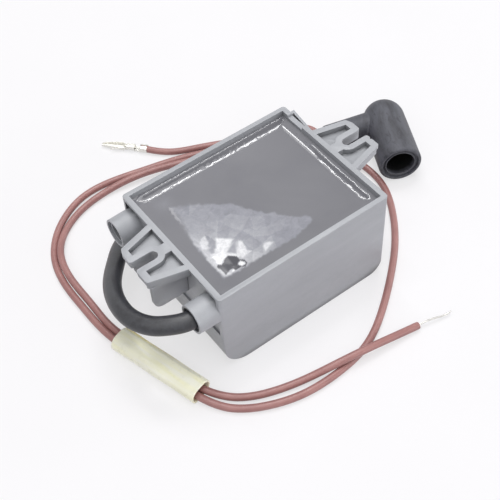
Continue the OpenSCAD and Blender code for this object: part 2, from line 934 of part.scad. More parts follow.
module primary_wires() {
  color([0.75, 0.2, 0.15])
  primary_wires_solid();
}

// Wire from an end of the secondary to the contact pin of an outlet
module secondary_wire(side) {
  y_end = primary_half + flange_thickness + fit_gap;
  wire_z = coil_z + secondary_wind_r - 1;
  rod_y(coil_x, side > 0 ? y_end : -outlet_y - wire_r, side > 0 ? outlet_y + wire_r : -y_end,
    wire_z, wire_r, $fn = wire_fn);
  rod_z(coil_x, side * outlet_y, wire_z - wire_r, outlet_height + wire_r, wire_r, $fn = wire_fn);
  rod_x(-pin_inner_x, coil_x + wire_r, side * outlet_y, outlet_height, wire_r, $fn = wire_fn);
}

module secondary_wire_left() {
  color([0.78, 0.45, 0.25])
  secondary_wire(1);
}

module secondary_wire_right() {
  color([0.78, 0.45, 0.25])
  secondary_wire(-1);
}

// Stripped tail of a feed lead, from its inner end to the board
module lead_tail(y) {
  x0 = lead_start_x;
  rod_x(board_x1 - 2.5 - wire_r, x0 - lead_r * cos(lead_slope), y, lead_start_z + 1, wire_r,
    $fn = wire_fn);
  rod_z(board_x1 - 2.5, y, board_top, lead_start_z + 1 + wire_r, wire_r, $fn = wire_fn);
}

module lead_tails() {
  color([0.8, 0.5, 0.3])
  union() {
    lead_tail(lead_y_terminal);
    lead_tail(lead_y_bare);
  }
}

// Contact pin with its collar, from inside the resin to a domed tip below the outlet's step
module outlet_contact(side) {
  rod_x(-collar_x - 0.3, -pin_inner_x, side * outlet_y, outlet_height, pin_r, $fn = small_fn);
  rod_x(-collar_x - collar_length, -collar_x, side * outlet_y, outlet_height, collar_r,
    $fn = small_fn);
  translate([-collar_x - 0.3, side * outlet_y, outlet_height])
    sphere(r = pin_r, $fn = small_fn);
}

module socket_contact() {
  color([0.8, 0.7, 0.4])
  outlet_contact(1);
}

module cable_contact() {
  color([0.8, 0.7, 0.4])
  outlet_contact(-1);
}

module ht_cable() {
  color([0.18, 0.18, 0.19])
  tube(cable_route, cable_d / 2, 12);
}

// Boot lying on the floor
module boot_axis() {
  translate(boot_mouth)
    rotate([0, 0, boot_heading])
      rotate([0, -90, 0])
        children();
}

module stem_axis() {
  translate(boot_back)
    rotate([0, 0, stem_heading])
      rotate([0, -90, 0])
        children();
}

module electrode_boot() {
  color([0.2, 0.2, 0.22])
  difference() {
    union() {
      boot_axis()
        cylinder(r = boot_r, h = boot_length);
      boot_axis()
        translate([0, 0, boot_length])
          sphere(r = boot_r, $fn = 36);
      stem_axis()
        cylinder(r = stem_r, h = stem_length - stem_edge_r);
      stem_axis()
        translate([0, 0, stem_length - stem_edge_r - eps])
          cylinder(r1 = stem_r, r2 = stem_r - stem_edge_r, h = stem_edge_r + eps);
    }
    boot_axis()
      translate([0, 0, -1])
        cylinder(r = boot_bore_r, h = boot_bore_depth + 1);
    boot_axis()
      cylinder(r = boot_chamber_r, h = boot_chamber_depth, $fn = 32);
    boot_axis()
      translate([0, 0, -eps])
        difference() {
          cylinder(r = boot_groove_r + boot_groove_width / 2, h = boot_groove_depth + eps);
          translate([0, 0, -1])
            cylinder(r = boot_groove_r - boot_groove_width / 2, h = 3);
        }
    boot_axis()
      translate([0, 0, -eps])
        cylinder(r = boot_groove_r, h = boot_lip_depth + eps);
    stem_axis()
      cylinder(r = stem_bore_r, h = stem_length + 1, $fn = 32);
  }
}

// Sprung ferrule that grips the electrode, with the wire that joins it to the cable
module boot_contact() {
  color([0.8, 0.8, 0.78])
  union() {
    boot_axis()
      translate([0, 0, boot_bore_depth + 0.4])
        difference() {
          cylinder(r = boot_chamber_r - fit_gap, h = 7.6, $fn = small_fn);
          translate([0, 0, -1])
            cylinder(r = 2.6, h = 6.6, $fn = small_fn);
        }
    stem_axis()
      cylinder(r = 0.8, h = cable_end - fit_gap, $fn = small_fn);
  }
}

module terminal_lead() {
  color([0.5, 0.3, 0.28])
  tube(terminal_route, lead_r, 8);
}

module bare_lead() {
  color([0.5, 0.3, 0.28])
  tube(bare_route, lead_r, 8);
}

module bare_strands() {
  color([0.8, 0.8, 0.8])
  tube(strand_route, strand_r, 6);
}

// Crimp terminal: insulation wings, conductor barrel and a tapering channel with a lance
module terminal_axis() {
  translate(terminal_at)
    rotate([0, 0, terminal_heading])
      children();
}

module crimp_terminal() {
  wing_r = lead_r + terminal_plate;
  color([0.82, 0.82, 0.82])
  terminal_axis()
    difference() {
      union() {
        rod_x(-2.4, 0.6, 0, 0, wing_r, $fn = small_fn);
        rod_x(0.5, 3.2, 0, -0.2, 0.9, $fn = small_fn);
        rod_x(3.1, 6.3, 0, -0.1, 1.15, $fn = small_fn);
        translate([0, 0, -1.2])
          linear_extrude(height = 2.1)
            polygon([[6.2, -1.1], [8, -1.5], [12, -1.3], [17, -0.8],
              [17, 0.8], [12, 1.3], [8, 1.5], [6.2, 1.1]]);
        translate([8.2, 1.2, -0.7])
          rotate([0, 0, 12])
            cube([4.8, 0.3, 1]);
      }
      rod_x(-3, 0.1, 0, 0, lead_r + fit_gap, $fn = small_fn);
      translate([-3, -0.5, 0.6])
        cube([3.4, 1, 3]);
      translate([0, 0, -0.85])
        linear_extrude(height = 3)
          polygon([[7, -0.8], [8, -1.15], [12, -0.95], [16.4, -0.45],
            [16.4, 0.45], [12, 0.95], [8, 1.15], [7, 0.8]]);
    }
}

// Flattened sleeve over both leads
module sleeve_view(inset) {
  r = sleeve_height / 2 - inset;
  flat = (sleeve_width - sleeve_height) / 2;
  union() {
    translate([-flat, 0])
      circle(r = r, $fn = 32);
    translate([flat, 0])
      circle(r = r, $fn = 32);
    translate([-flat, -r])
      square([2 * flat, 2 * r]);
  }
}

module lead_sleeve() {
  color([0.88, 0.86, 0.65])
  translate([sleeve_start[0], sleeve_start[1], sleeve_height / 2])
    rotate([0, 0, sleeve_heading])
      rotate([90, 0, 90])
        linear_extrude(height = sleeve_length)
          difference() {
            sleeve_view(0);
            sleeve_view(sleeve_wall);
          }
}

case();
potting_resin();
magnetic_core();
primary_bobbin();
primary_winding();
secondary_bobbin();
secondary_winding();
insulation_tape();
circuit_board();
storage_capacitor();
rectifier_diode();
freewheel_diode();
dropper_resistor();
bleed_resistor();
trigger_switch();
primary_wires();
secondary_wire_left();
secondary_wire_right();
lead_tails();
socket_contact();
cable_contact();
ht_cable();
electrode_boot();
boot_contact();
terminal_lead();
bare_lead();
bare_strands();
crimp_terminal();
lead_sleeve();
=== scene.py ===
"""Ignition transformer on a pale floor: potted case, boot on its cable, and two feed leads."""

import json
import math
import random

import bmesh
import bpy
import numpy as np
from mathutils import Matrix, Vector, geometry


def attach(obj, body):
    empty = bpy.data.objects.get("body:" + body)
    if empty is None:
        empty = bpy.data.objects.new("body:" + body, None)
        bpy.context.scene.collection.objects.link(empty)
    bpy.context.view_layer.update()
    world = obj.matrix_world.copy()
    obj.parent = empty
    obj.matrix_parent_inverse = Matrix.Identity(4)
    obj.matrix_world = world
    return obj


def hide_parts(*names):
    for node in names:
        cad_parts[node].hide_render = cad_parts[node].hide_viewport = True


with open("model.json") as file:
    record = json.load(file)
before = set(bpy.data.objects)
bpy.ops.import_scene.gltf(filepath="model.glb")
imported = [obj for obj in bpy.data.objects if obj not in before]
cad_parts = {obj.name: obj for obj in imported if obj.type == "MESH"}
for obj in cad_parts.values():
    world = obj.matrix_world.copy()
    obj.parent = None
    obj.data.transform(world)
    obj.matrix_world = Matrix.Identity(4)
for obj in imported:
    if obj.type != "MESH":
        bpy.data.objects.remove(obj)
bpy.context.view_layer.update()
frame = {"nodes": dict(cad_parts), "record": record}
nodes = frame["nodes"]
MM = 0.001
UP = np.array((0, 0, 1))

# Camera at the photograph's angle

EYE = Vector((-125.12, -182.93, 283.39)) * MM
LOOK = Vector((0.34935, 0.52367, -0.77700)).normalized()
UPWARD = Vector((0.48739, 0.60667, 0.62802))

look_right = LOOK.cross(UPWARD).normalized()
look_up = look_right.cross(LOOK)
camera = bpy.data.objects.new("camera", bpy.data.cameras.new("camera"))
camera.data.lens = 70.57
camera.data.sensor_width = 36
camera.data.clip_start = 0.01
camera_turn = Matrix((look_right, look_up, -LOOK)).transposed()
camera.matrix_world = Matrix.Translation(EYE) @ camera_turn.to_4x4()
bpy.context.collection.objects.link(camera)
bpy.context.scene.camera = camera

# Routes of the cords in millimetres, as in the CAD source

CABLE_ROUTE = [
    (-37.05, -22.9, 29.4), (-39, -22.9, 29.4), (-41.5, -22.9, 29.4), (-44.8, -22.3, 29.4),
    (-48.8, -20.2, 29.1), (-52.7, -16.8, 28.3), (-55.3, -12.4, 27.4), (-56.6, -7.2, 26.3),
    (-56.4, -1, 24.9), (-54.9, 5.2, 22.7), (-52.2, 11.7, 20), (-48.6, 17.7, 17.2),
    (-44.2, 23.7, 14.4), (-39.2, 29.8, 11.6), (-31.6, 35.4, 8.8), (-19, 39.8, 5.4),
    (-5, 41.6, 3.8), (10, 41.4, 3.4), (24, 39.4, 3.9), (37, 35.6, 5.6),
    (48, 31.5, 7.6), (55.3, 28.97, 8.4), (69.52, 25.24, 8.4)]
TERMINAL_ROUTE = [
    (33.4, 19, 30.4), (35.9, 19, 27.4), (36.9, 19.3, 23), (37.4, 21, 17.4),
    (40.2, 26.5, 12.9), (41.9, 34.8, 11.3), (40, 43.4, 7.6), (33.4, 50.8, 2.8),
    (22, 57.2, 1.4), (7, 63, 1.4), (-8, 66.8, 1.4), (-22, 69.7, 1.4),
    (-33.4, 69.4, 1.4), (-43, 65.4, 1.4), (-51.4, 58.6, 1.4), (-57.2, 50, 1.4),
    (-60.3, 38.2, 1.4), (-60.6, 23.4, 1.4), (-59.9, 9, 1.8), (-56.5, -6.4, 2.3),
    (-53, -18.9, 2.3), (-49.1, -32.8, 2.3), (-43.5, -41.9, 1.4), (-34, -48.6, 1.4),
    (-21.5, -52.8, 1.4), (-7, -53.6, 1.4), (7.5, -51.2, 1.4), (21, -44, 1.4),
    (34, -34.2, 1.4), (46, -23.2, 1.4), (55.8, -10.6, 1.4), (61.6, 2, 1.4),
    (61.8, 12, 2.2), (57.6, 18.6, 6.5), (53, 24.8, 11.7), (51.2, 31.3, 14),
    (48.3, 39.4, 10.9), (38, 51.6, 2.6), (19, 62.3, 1.4), (6.5, 68.8, 1.4),
    (-1, 77.2, 1.75)]
BARE_ROUTE = [
    (33.4, 23.4, 30.4), (35.9, 23.4, 27.4), (36.9, 23.7, 23), (37.3, 25.9, 16.2),
    (37.4, 32.7, 11.4), (35.7, 41.2, 8.7), (30, 48.8, 3.6), (19, 55, 1.8),
    (3, 60.6, 2.6), (-12, 64.4, 2.8), (-26, 65.8, 1.6), (-38, 63.6, 1.4),
    (-48.4, 57.6, 1.6), (-55, 48.6, 2.8), (-57.7, 37.4, 2.8), (-57.6, 23, 2),
    (-57.3, 10, 2.1), (-55.4, 0.8, 2.4), (-51.3, -13.4, 2.3), (-46.1, -31.9, 2.3),
    (-39.5, -40, 1.4), (-30, -45.3, 1.4), (-17, -49, 1.7), (-5, -52, 3.9),
    (6, -53.8, 4.1), (16.5, -55, 2.8), (27, -56.2, 1.5)]
STRAND_ROUTE = [
    (26.6, -56.15, 1.5), (30.5, -56.8, 1.8), (34.5, -57.9, 1.5), (37.5, -58.6, 1.2),
    (40.5, -58.8, 1.6)]

CABLE_R = 3.25
LEAD_R = 1.35
CABLE_STEP = 0.9
LEAD_STEP = 0.8
FLOOR_GAP = 0.02
UV_PER_MM = 0.01


def smooth_line(points, step, floor=None):
    """Points every step along the smooth curve through the given ones, none below floor."""
    p = np.array(points, float)
    gaps = np.linalg.norm(np.diff(p, axis=0), axis=1)
    places = np.concatenate([[0], np.cumsum(gaps)])
    n = len(p)
    a = np.zeros((n, n))
    b = np.zeros((n, 3))
    a[0, 0] = a[-1, -1] = 1
    for i in range(1, n - 1):
        a[i, i - 1:i + 2] = gaps[i - 1], 2 * (gaps[i - 1] + gaps[i]), gaps[i]
        b[i] = 6 * ((p[i + 1] - p[i]) / gaps[i] - (p[i] - p[i - 1]) / gaps[i - 1])
    m = np.linalg.solve(a, b)
    out = []
    for s in np.linspace(0, places[-1], int(round(places[-1] / step)) + 1):
        i = min(int(np.searchsorted(places, s, side="right")) - 1, n - 2)
        h = gaps[i]
        u = (places[i + 1] - s) / h
        v = (s - places[i]) / h
        bulge = ((u ** 3 - u) * m[i] + (v ** 3 - v) * m[i + 1]) * h * h / 6
        out.append(u * p[i] + v * p[i + 1] + bulge)
    out = np.array(out)
    if floor is not None:
        out[:, 2] = np.maximum(out[:, 2], floor)
    return out


def frames(path):
    """Tangent and two side vectors at each point of a path, carried along it without twist."""
    way = np.gradient(path, axis=0)
    way /= np.linalg.norm(way, axis=1)[:, None]
    side = np.array([0.1, 1, 0.2])
    sides = []
    for w in way:
        side = side - w * np.dot(side, w)
        side /= np.linalg.norm(side)
        sides.append(side)
    sides = np.array(sides)
    return way, sides, np.cross(way, sides)


def make_object(name, bm, material):
    """A new smooth-shaded object from a bmesh in metres, riding on the part's body."""
    bmesh.ops.recalc_face_normals(bm, faces=bm.faces)
    mesh = bpy.data.meshes.new(name)
    bm.to_mesh(mesh)
    bm.free()
    for poly in mesh.polygons:
        poly.use_smooth = True
    obj = bpy.data.objects.new(name, mesh)
    bpy.context.collection.objects.link(obj)
    mesh.materials.append(material)
    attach(obj, "root")
    return obj


def sharpen(obj, degrees):
    """Keeps edges sharper than this many degrees as creases in the shading."""
    bm = bmesh.new()
    bm.from_mesh(obj.data)
    for e in bm.edges:
        e.smooth = not (len(e.link_faces) == 2 and e.calc_face_angle(0) > math.radians(degrees))
    bm.to_mesh(obj.data)
    bm.free()


def add_rings(bm, rings, caps=True):
    """Joins rings of points, in millimetres, into a skin with a face at each end."""
    rows = [[bm.verts.new(Vector(p) * MM) for p in ring] for ring in rings]
    n = len(rows[0])
    uv = bm.loops.layers.uv.verify()
    along = 0.0
    for i in range(len(rows) - 1):
        step = float(np.linalg.norm(np.mean(rings[i + 1], axis=0) - np.mean(rings[i], axis=0)))
        for k in range(n):
            j = (k + 1) % n
            f = bm.faces.new((rows[i][k], rows[i][j], rows[i + 1][j], rows[i + 1][k]))
            for loop, (u, v) in zip(f.loops, ((0, k), (0, k + 1), (1, k + 1), (1, k))):
                loop[uv].uv = ((along + u * step) * UV_PER_MM, v / n)
        along += step
    if caps:
        bm.faces.new(rows[0][::-1])
        bm.faces.new(rows[-1])


def tube_rings(path, radius, sides, edge):
    """Rings of a round tube along a path, its ends rounded off by edge."""
    way, a, b = frames(path)
    angles = np.linspace(0, 2 * math.pi, sides, endpoint=False)
    near = 0.3 * edge

    def ring(i, shift, r):
        around = np.cos(angles)[:, None] * a[i] + np.sin(angles)[:, None] * b[i]
        return path[i] + way[i] * shift + r * around

    rings = [ring(0, 0, radius - edge), ring(0, near, radius - near)]
    rings += [ring(i, 0, radius) for i in range(1, len(path) - 1)]
    return rings + [ring(-1, -near, radius - near), ring(-1, 0, radius - edge)]


def tube(name, path, radius, sides, material, edge=0.2):
    """A new object that is one round tube along a path."""
    bm = bmesh.new()
    add_rings(bm, tube_rings(path, radius, sides, edge))
    obj = make_object(name, bm, material)
    sharpen(obj, 50)
    return obj


# Materials. Noise scales are in waves per millimetre, and bump depths in millimetres

def new_material(name):
    """A new material with only its output and its shader, its node tree, and that shader."""
    m = bpy.data.materials.new(name)
    m.use_nodes = True
    tree = m.node_tree
    tree.nodes.clear()
    out = tree.nodes.new("ShaderNodeOutputMaterial")
    shader = tree.nodes.new("ShaderNodeBsdfPrincipled")
    tree.links.new(shader.outputs[0], out.inputs[0])
    return m, tree, shader


def coords(tree, kind="Object", scale=(1, 1, 1), turn=None):
    """Texture coordinates in millimetres, turned and then stretched."""
    out = tree.nodes.new("ShaderNodeTexCoord").outputs[kind]
    if turn is not None:
        mapping = tree.nodes.new("ShaderNodeMapping")
        mapping.inputs["Rotation"].default_value = turn
        tree.links.new(out, mapping.inputs["Vector"])
        out = mapping.outputs[0]
    mapping = tree.nodes.new("ShaderNodeMapping")
    factor = 1 / MM if kind == "Object" else 1
    mapping.inputs["Scale"].default_value = [s * factor for s in scale]
    tree.links.new(out, mapping.inputs["Vector"])
    return mapping.outputs[0]


def noise_node(tree, vector, scale, detail=3, rough=0.5, distortion=0):
    """Noise value with its own scale, detail, roughness and distortion."""
    n = tree.nodes.new("ShaderNodeTexNoise")
    n.inputs["Scale"].default_value = scale
    n.inputs["Detail"].default_value = detail
    n.inputs["Roughness"].default_value = rough
    n.inputs["Distortion"].default_value = distortion
    tree.links.new(vector, n.inputs["Vector"])
    return n.outputs["Fac"]


def ramp(tree, fac, first, last, start=0.3, stop=0.7):
    """Grey level or colour that runs from first to last while fac runs from start to stop."""
    r = tree.nodes.new("ShaderNodeValToRGB")
    for e, place, c in zip(r.color_ramp.elements, (start, stop), (first, last)):
        e.position = place
        e.color = (*c, 1) if hasattr(c, "__len__") else (c, c, c, 1)
    tree.links.new(fac, r.inputs[0])
    return r.outputs[0]


def mix(tree, fac, a, b, kind="MIX"):
    """Colour a with b laid over it by fac; each may be a socket, a level or a colour."""
    m = tree.nodes.new("ShaderNodeMix")
    m.data_type = "RGBA"
    m.blend_type = kind
    for socket, value in ((m.inputs[0], fac), (m.inputs[6], a), (m.inputs[7], b)):
        if isinstance(value, bpy.types.NodeSocket):
            tree.links.new(value, socket)
        elif hasattr(value, "__len__"):
            socket.default_value = (*value, 1)
        else:
            socket.default_value = value
    return m.outputs[2]


def painted(tree, layer):
    """Red, green and blue of a layer that is painted on the piece."""
    attribute = tree.nodes.new("ShaderNodeVertexColor")
    attribute.layer_name = layer
    parts = tree.nodes.new("ShaderNodeSeparateColor")
    tree.links.new(attribute.outputs[0], parts.inputs[0])
    return parts.outputs[0], parts.outputs[1], parts.outputs[2]


def bump(tree, height, depth, strength=1.0, normal=None):
    """Normal that is bumped by a height, over another normal if one is given."""
    b = tree.nodes.new("ShaderNodeBump")
    b.inputs["Distance"].default_value = depth * MM
    b.inputs["Strength"].default_value = strength
    tree.links.new(height, b.inputs["Height"])
    if normal is not None:
        tree.links.new(normal, b.inputs["Normal"])
    return b.outputs[0]


def finish_shader(tree, shader, color, rough, normal=None, **settings):
    """Joins colour, roughness and normal to the shader, and sets its other sockets by name."""
    for name, value in (("Base Color", color), ("Roughness", rough), ("Normal", normal)):
        if isinstance(value, bpy.types.NodeSocket):
            tree.links.new(value, shader.inputs[name])
        elif value is not None:
            shader.inputs[name].default_value = value
    for name, value in settings.items():
        shader.inputs[name.replace("_", " ")].default_value = value


def srgb(r, g, b):
    """Linear colour from 0 to 255 screen values."""
    return tuple((c / 255 / 12.92) if c < 11 else ((c / 255 + 0.055) / 1.055) ** 2.4 for c in (r, g, b))


def case_plastic():
    """Grey moulded plastic with a fine satin grain, faint flow marks, and painted shade that darkens its
    recesses.
    """
    m, t, s = new_material("case_plastic")
    at = coords(t)
    flow = noise_node(t, coords(t, scale=(0.25, 0.25, 1)), 0.12, detail=4, rough=0.6, distortion=0.6)
    tone = ramp(t, flow, srgb(164, 166, 171), srgb(173, 175, 180))
    speck = noise_node(t, at, 1.6, detail=2, rough=0.6)
    tone = mix(t, ramp(t, speck, 0.0, 0.12, 0.35, 0.75), tone, srgb(146, 148, 153))
    # Painted shade: ambient occlusion darkens the colour in recesses, corners and under overhangs
    recess_shade = t.nodes.new("ShaderNodeAmbientOcclusion")
    recess_shade.samples = 12
    recess_shade.inputs["Distance"].default_value = 8 * MM
    tone = mix(t, 1.0, tone, ramp(t, recess_shade.outputs["AO"], 0.38, 1.0, 0.2, 0.66), "MULTIPLY")
    grain = noise_node(t, at, 4.5, rough=0.6)
    shine = ramp(t, noise_node(t, at, 0.5, rough=0.6), 0.36, 0.5)
    low = bump(t, noise_node(t, at, 0.07, detail=2), 0.25, 0.5)
    finish_shader(t, s, tone, shine, bump(t, grain, 0.012, 0.6, low), IOR=1.49)
    return m


def resin():
    """Poured grey resin: glossy and smooth, with a crinkled skin at one corner whose paler tone and bright
    facets are painted reflection, and painted shade on its steep rises.
    """
    m, t, s = new_material("resin")
    at = coords(t)
    cloud = noise_node(t, at, 0.045, distortion=0.4)
    tone = ramp(t, cloud, srgb(119, 119, 125), srgb(127, 127, 132))
    film_share, painted_reflection_share, hole_and_shade_share = painted(t, "skin")
    # Painted reflection of the lamps: the film's paler, patchy tone and its bright facets
    reflection_mottle = noise_node(t, at, 0.35, detail=4, rough=0.6, distortion=0.8)
    film = ramp(t, reflection_mottle, srgb(130, 131, 140), srgb(148, 149, 158))
    patchy = noise_node(t, at, 0.8, rough=0.6, distortion=1.0)
    cover = mix(t, 1.0, painted_reflection_share, ramp(t, patchy, 0.72, 1.0, 0.35, 0.62), "MULTIPLY")
    film = mix(t, cover, film, srgb(250, 250, 252))
    tone = mix(t, film_share, tone, film)
    # Darker in the hole of the film, and painted shade on the steep part of the far rises
    tone = mix(t, hole_and_shade_share, tone, srgb(72, 72, 79))
    shine = ramp(t, film_share, 0.03, 0.16, 0.0, 1.0)
    ripple = bump(t, noise_node(t, at, 0.09, detail=2), 0.1, 0.5)
    fine = noise_node(t, at, 1.3, detail=2)
    finish_shader(t, s, tone, shine, bump(t, fine, 0.0015, 1.0, ripple), IOR=1.52)
    return m


def rubber(name, dark, pale, rough, cloud, turn=None, stretch=(1, 1, 1), inside=None):
    """Black rubber with lengthwise scuffs and a greyish bloom, and painted shade where its layer is
    painted.
    """
    m, t, s = new_material(name)
    at = coords(t, scale=stretch, turn=turn)
    broad = noise_node(t, at, cloud, detail=5, rough=0.65, distortion=0.5)
    tone = ramp(t, broad, dark, pale, 0.34, 0.66)
    spots = noise_node(t, coords(t, scale=(0.5, 1, 1), turn=turn), 0.55, detail=4, rough=0.7,
                       distortion=0.5)
    tone = mix(t, ramp(t, spots, 0.0, 0.7, 0.54, 0.66), tone, dark)
    streak = noise_node(t, at, 1.4, detail=4, rough=0.7, distortion=0.3)
    tone = mix(t, ramp(t, streak, 0.0, 0.45, 0.56, 0.74), tone, pale)
    if inside is not None:
        # Painted shade, dark deep in a bore where the layer is painted
        tone = mix(t, painted(t, inside)[0], tone, srgb(14, 14, 16))
    grain = bump(t, noise_node(t, coords(t), 3.0, rough=0.6), 0.02, 0.7)
    finish_shader(t, s, tone, ramp(t, broad, *rough), bump(t, streak, 0.05, 0.5, grain), IOR=1.5)
    return m


def lead_insulation():
    """Brown-red extruded insulation, slightly uneven, with lengthwise draw lines."""
    m, t, s = new_material("lead_insulation")
    cloud = noise_node(t, coords(t), 0.12, rough=0.6)
    tone = ramp(t, cloud, srgb(152, 107, 104), srgb(168, 122, 118))
    lines = noise_node(t, coords(t, "UV", scale=(4, 14, 1)), 2.5, rough=0.6)
    tone = mix(t, ramp(t, lines, 0.0, 0.2, 0.45, 0.75), tone, srgb(140, 95, 91))
    shine = ramp(t, noise_node(t, coords(t), 0.8, detail=2), 0.3, 0.42)
    along = coords(t, "UV", scale=(60, 1, 1))
    fine = bump(t, noise_node(t, along, 3.0, rough=0.6), 0.02, 0.5)
    finish_shader(t, s, tone, shine, bump(t, lines, 0.015, 0.5, fine), IOR=1.5)
    return m


def tinned(name, tone, rough):
    """Bright tin plate, faintly brushed."""
    m, t, s = new_material(name)
    fine = noise_node(t, coords(t, scale=(1, 1, 3)), 2.2, rough=0.6)
    color = ramp(t, fine, tuple(c * 0.85 for c in tone), tone)
    shine = ramp(t, noise_node(t, coords(t), 1.1, rough=0.6), *rough)
    finish_shader(t, s, color, shine, bump(t, fine, 0.01, 0.5), Metallic=1.0)
    return m


def sleeve_plastic():
    """Pale yellow drawn tubing with lengthwise folds, and a painted yellow glow of light through the
    plastic on its far side, where it is seen edge-on.
    """
    m, t, s = new_material("sleeve_plastic")
    turn = (0, 0, -SLEEVE_HEADING)
    folds = noise_node(t, coords(t, scale=(0.1, 1, 1), turn=turn), 0.5, rough=0.55, distortion=0.4)
    tone = ramp(t, folds, srgb(252, 250, 214), srgb(254, 253, 236), 0.32, 0.68)
    flank_glow, end, _ = painted(t, "edge")
    # Painted glow of light through the plastic on the far side
    tone = mix(t, flank_glow, tone, srgb(244, 226, 140))
    tone = mix(t, end, tone, srgb(222, 221, 216))
    shine = ramp(t, noise_node(t, coords(t), 0.6), 0.24, 0.38)
    low = bump(t, folds, 0.12, 0.6)
    fine = noise_node(t, coords(t, scale=(0.3, 1, 1), turn=turn), 2.2, rough=0.6)
    finish_shader(t, s, tone, shine, bump(t, fine, 0.03, 0.6, low), IOR=1.45, Subsurface_Weight=0.1,
                  Subsurface_Radius=(1.0, 0.95, 0.7), Subsurface_Scale=0.5 * MM)
    return m


def simple(name, dark, pale, size, rough, depth=0.01, metal=0.0):
    """Two tones of noise of the given size in millimetres, with roughness and bump to suit."""
    m, t, s = new_material(name)
    at = coords(t)
    tone = ramp(t, noise_node(t, at, 1 / size, detail=4, rough=0.6, distortion=0.3), dark, pale)
    shine = ramp(t, noise_node(t, at, 2 / size, detail=2), *rough)
    fine = noise_node(t, at, 4 / size, rough=0.6)
    finish_shader(t, s, tone, shine, bump(t, fine, depth, 0.6), Metallic=metal)
    return m


def wound(name, dark, pale, pitch):
    """Close turns of enamelled wire round an axis along Y."""
    m, t, s = new_material(name)
    wave = t.nodes.new("ShaderNodeTexWave")
    wave.bands_direction = "Y"
    wave.inputs["Scale"].default_value = 0.314 / pitch
    wave.inputs["Distortion"].default_value = 0.3
    wave.inputs["Detail Scale"].default_value = 0.3
    t.links.new(coords(t), wave.inputs["Vector"])
    tone = ramp(t, wave.outputs["Fac"], dark, pale, 0.1, 0.6)
    cloud = noise_node(t, coords(t), 0.3, rough=0.6)
    tone = mix(t, ramp(t, cloud, 0.0, 0.4, 0.4, 0.8), tone, dark)
    shine = ramp(t, cloud, 0.22, 0.36)
    finish_shader(t, s, tone, shine, bump(t, wave.outputs["Fac"], 0.1, 0.8), Metallic=0.5)
    return m


BARREL_HEADING = math.radians(-116.8)
STEM_HEADING = math.radians(-14.7)
SLEEVE_HEADING = math.radians(-74.4)

CASE = case_plastic()
RESIN = resin()
CABLE = rubber("cable_rubber", srgb(42, 42, 46), srgb(58, 59, 64), rough=(0.3, 0.45), cloud=0.4)
BOOT = rubber("boot_rubber", srgb(48, 48, 54), srgb(84, 85, 93), rough=(0.42, 0.62), cloud=0.22,
              turn=(0, 0, -BARREL_HEADING), stretch=(0.3, 1, 1), inside="bore")
LEAD = lead_insulation()
TIN = tinned("tinned_copper", (0.8, 0.79, 0.75), (0.26, 0.46))
STRAND_TIN = tinned("strand_tin", (0.6, 0.59, 0.57), (0.3, 0.5))
SLEEVE = sleeve_plastic()
MATERIALS = {
    "case_plastic": CASE,
    "resin": RESIN,
    "ferrite": simple("ferrite", srgb(46, 46, 49), srgb(66, 66, 70), 0.6, (0.45, 0.7), 0.03),
    "bobbin_plastic": simple("bobbin_plastic", srgb(214, 210, 198), srgb(232, 229, 219), 3, (0.35, 0.5)),
    "copper": wound("copper", srgb(128, 58, 28), srgb(206, 120, 66), 0.25),
    "tape": simple("tape", srgb(206, 176, 62), srgb(228, 202, 96), 4, (0.2, 0.32), 0.02),
    "board": simple("board", srgb(36, 84, 52), srgb(52, 108, 68), 1.2, (0.3, 0.45), 0.02),
    "capacitor_coat": simple("capacitor_coat", srgb(164, 66, 34), srgb(190, 86, 46), 1.5,
                             (0.28, 0.42), 0.05),
    "component_black": simple("component_black", srgb(26, 26, 28), srgb(42, 42, 45), 0.8,
                              (0.4, 0.6), 0.02),
    "resistor_coat": simple("resistor_coat", srgb(150, 146, 128), srgb(182, 176, 156), 0.9,
                            (0.4, 0.6), 0.03),
    "hookup_wire": simple("hookup_wire", srgb(150, 40, 34), srgb(178, 56, 46), 1.5, (0.3, 0.45)),
    "contact_brass": simple("contact_brass", srgb(196, 160, 92), srgb(226, 196, 130), 2.0,
                            (0.2, 0.36), metal=1.0),
    "cable_rubber": CABLE,
    "boot_rubber": BOOT,
    "lead_insulation": LEAD,
    "tinned_copper": TIN,
    "sleeve_plastic": SLEEVE,
}

# Every CAD node takes the finish of its slot

for part in frame["record"]["subparts"]:
    obj = nodes.get(part["node"])
    if obj is None:
        continue
    finish = MATERIALS[part["material_slot"]]
    if not obj.data.materials:
        obj.data.materials.append(finish)
    for i in range(len(obj.data.materials)):
        obj.data.materials[i] = finish

# Cords

cable_path = smooth_line(CABLE_ROUTE, CABLE_STEP, CABLE_R + FLOOR_GAP)
terminal_path = smooth_line(TERMINAL_ROUTE, LEAD_STEP, LEAD_R + FLOOR_GAP)
bare_path = smooth_line(BARE_ROUTE, LEAD_STEP, LEAD_R + FLOOR_GAP)
cable = tube("cable_jacket", cable_path, CABLE_R, 40, CABLE, edge=0.3)
lead_a = tube("lead_with_terminal", terminal_path, LEAD_R, 24, LEAD)
lead_b = tube("lead_with_bare_end", bare_path, LEAD_R, 24, LEAD)

# Case: the CAD shape. The two bevels ask for the widths below, but they come out under a
# thousandth of a millimetre, because the shortest edges of the mesh clamp them. They change
# the shading beside the edges, which stay as sharp as in the CAD

TOP_EDGE_Z = 38.4
CAVITY_X, CAVITY_Y = 34, 27.5
EAR_ROOT_X = 34.5
POCKET_WALL_Z = 37
OUTLINE_WIDTH = 0.4
EDGE_WIDTH = 0.16


def merged_copy(node):
    """A CAD node's mesh with its double points and flat seams taken out."""
    bm = bmesh.new()
    bm.from_mesh(nodes[node].data)
    bmesh.ops.remove_doubles(bm, verts=bm.verts, dist=2e-6)
    bmesh.ops.dissolve_limit(bm, angle_limit=math.radians(0.6), verts=bm.verts, edges=bm.edges,
                             delimit={"NORMAL"})
    return bm


def hard_edges(bm, degrees):
    """Edges whose two faces turn by more than this many degrees."""
    least = math.radians(degrees)
    return [e for e in bm.edges if len(e.link_faces) == 2 and e.calc_face_angle(0) > least]


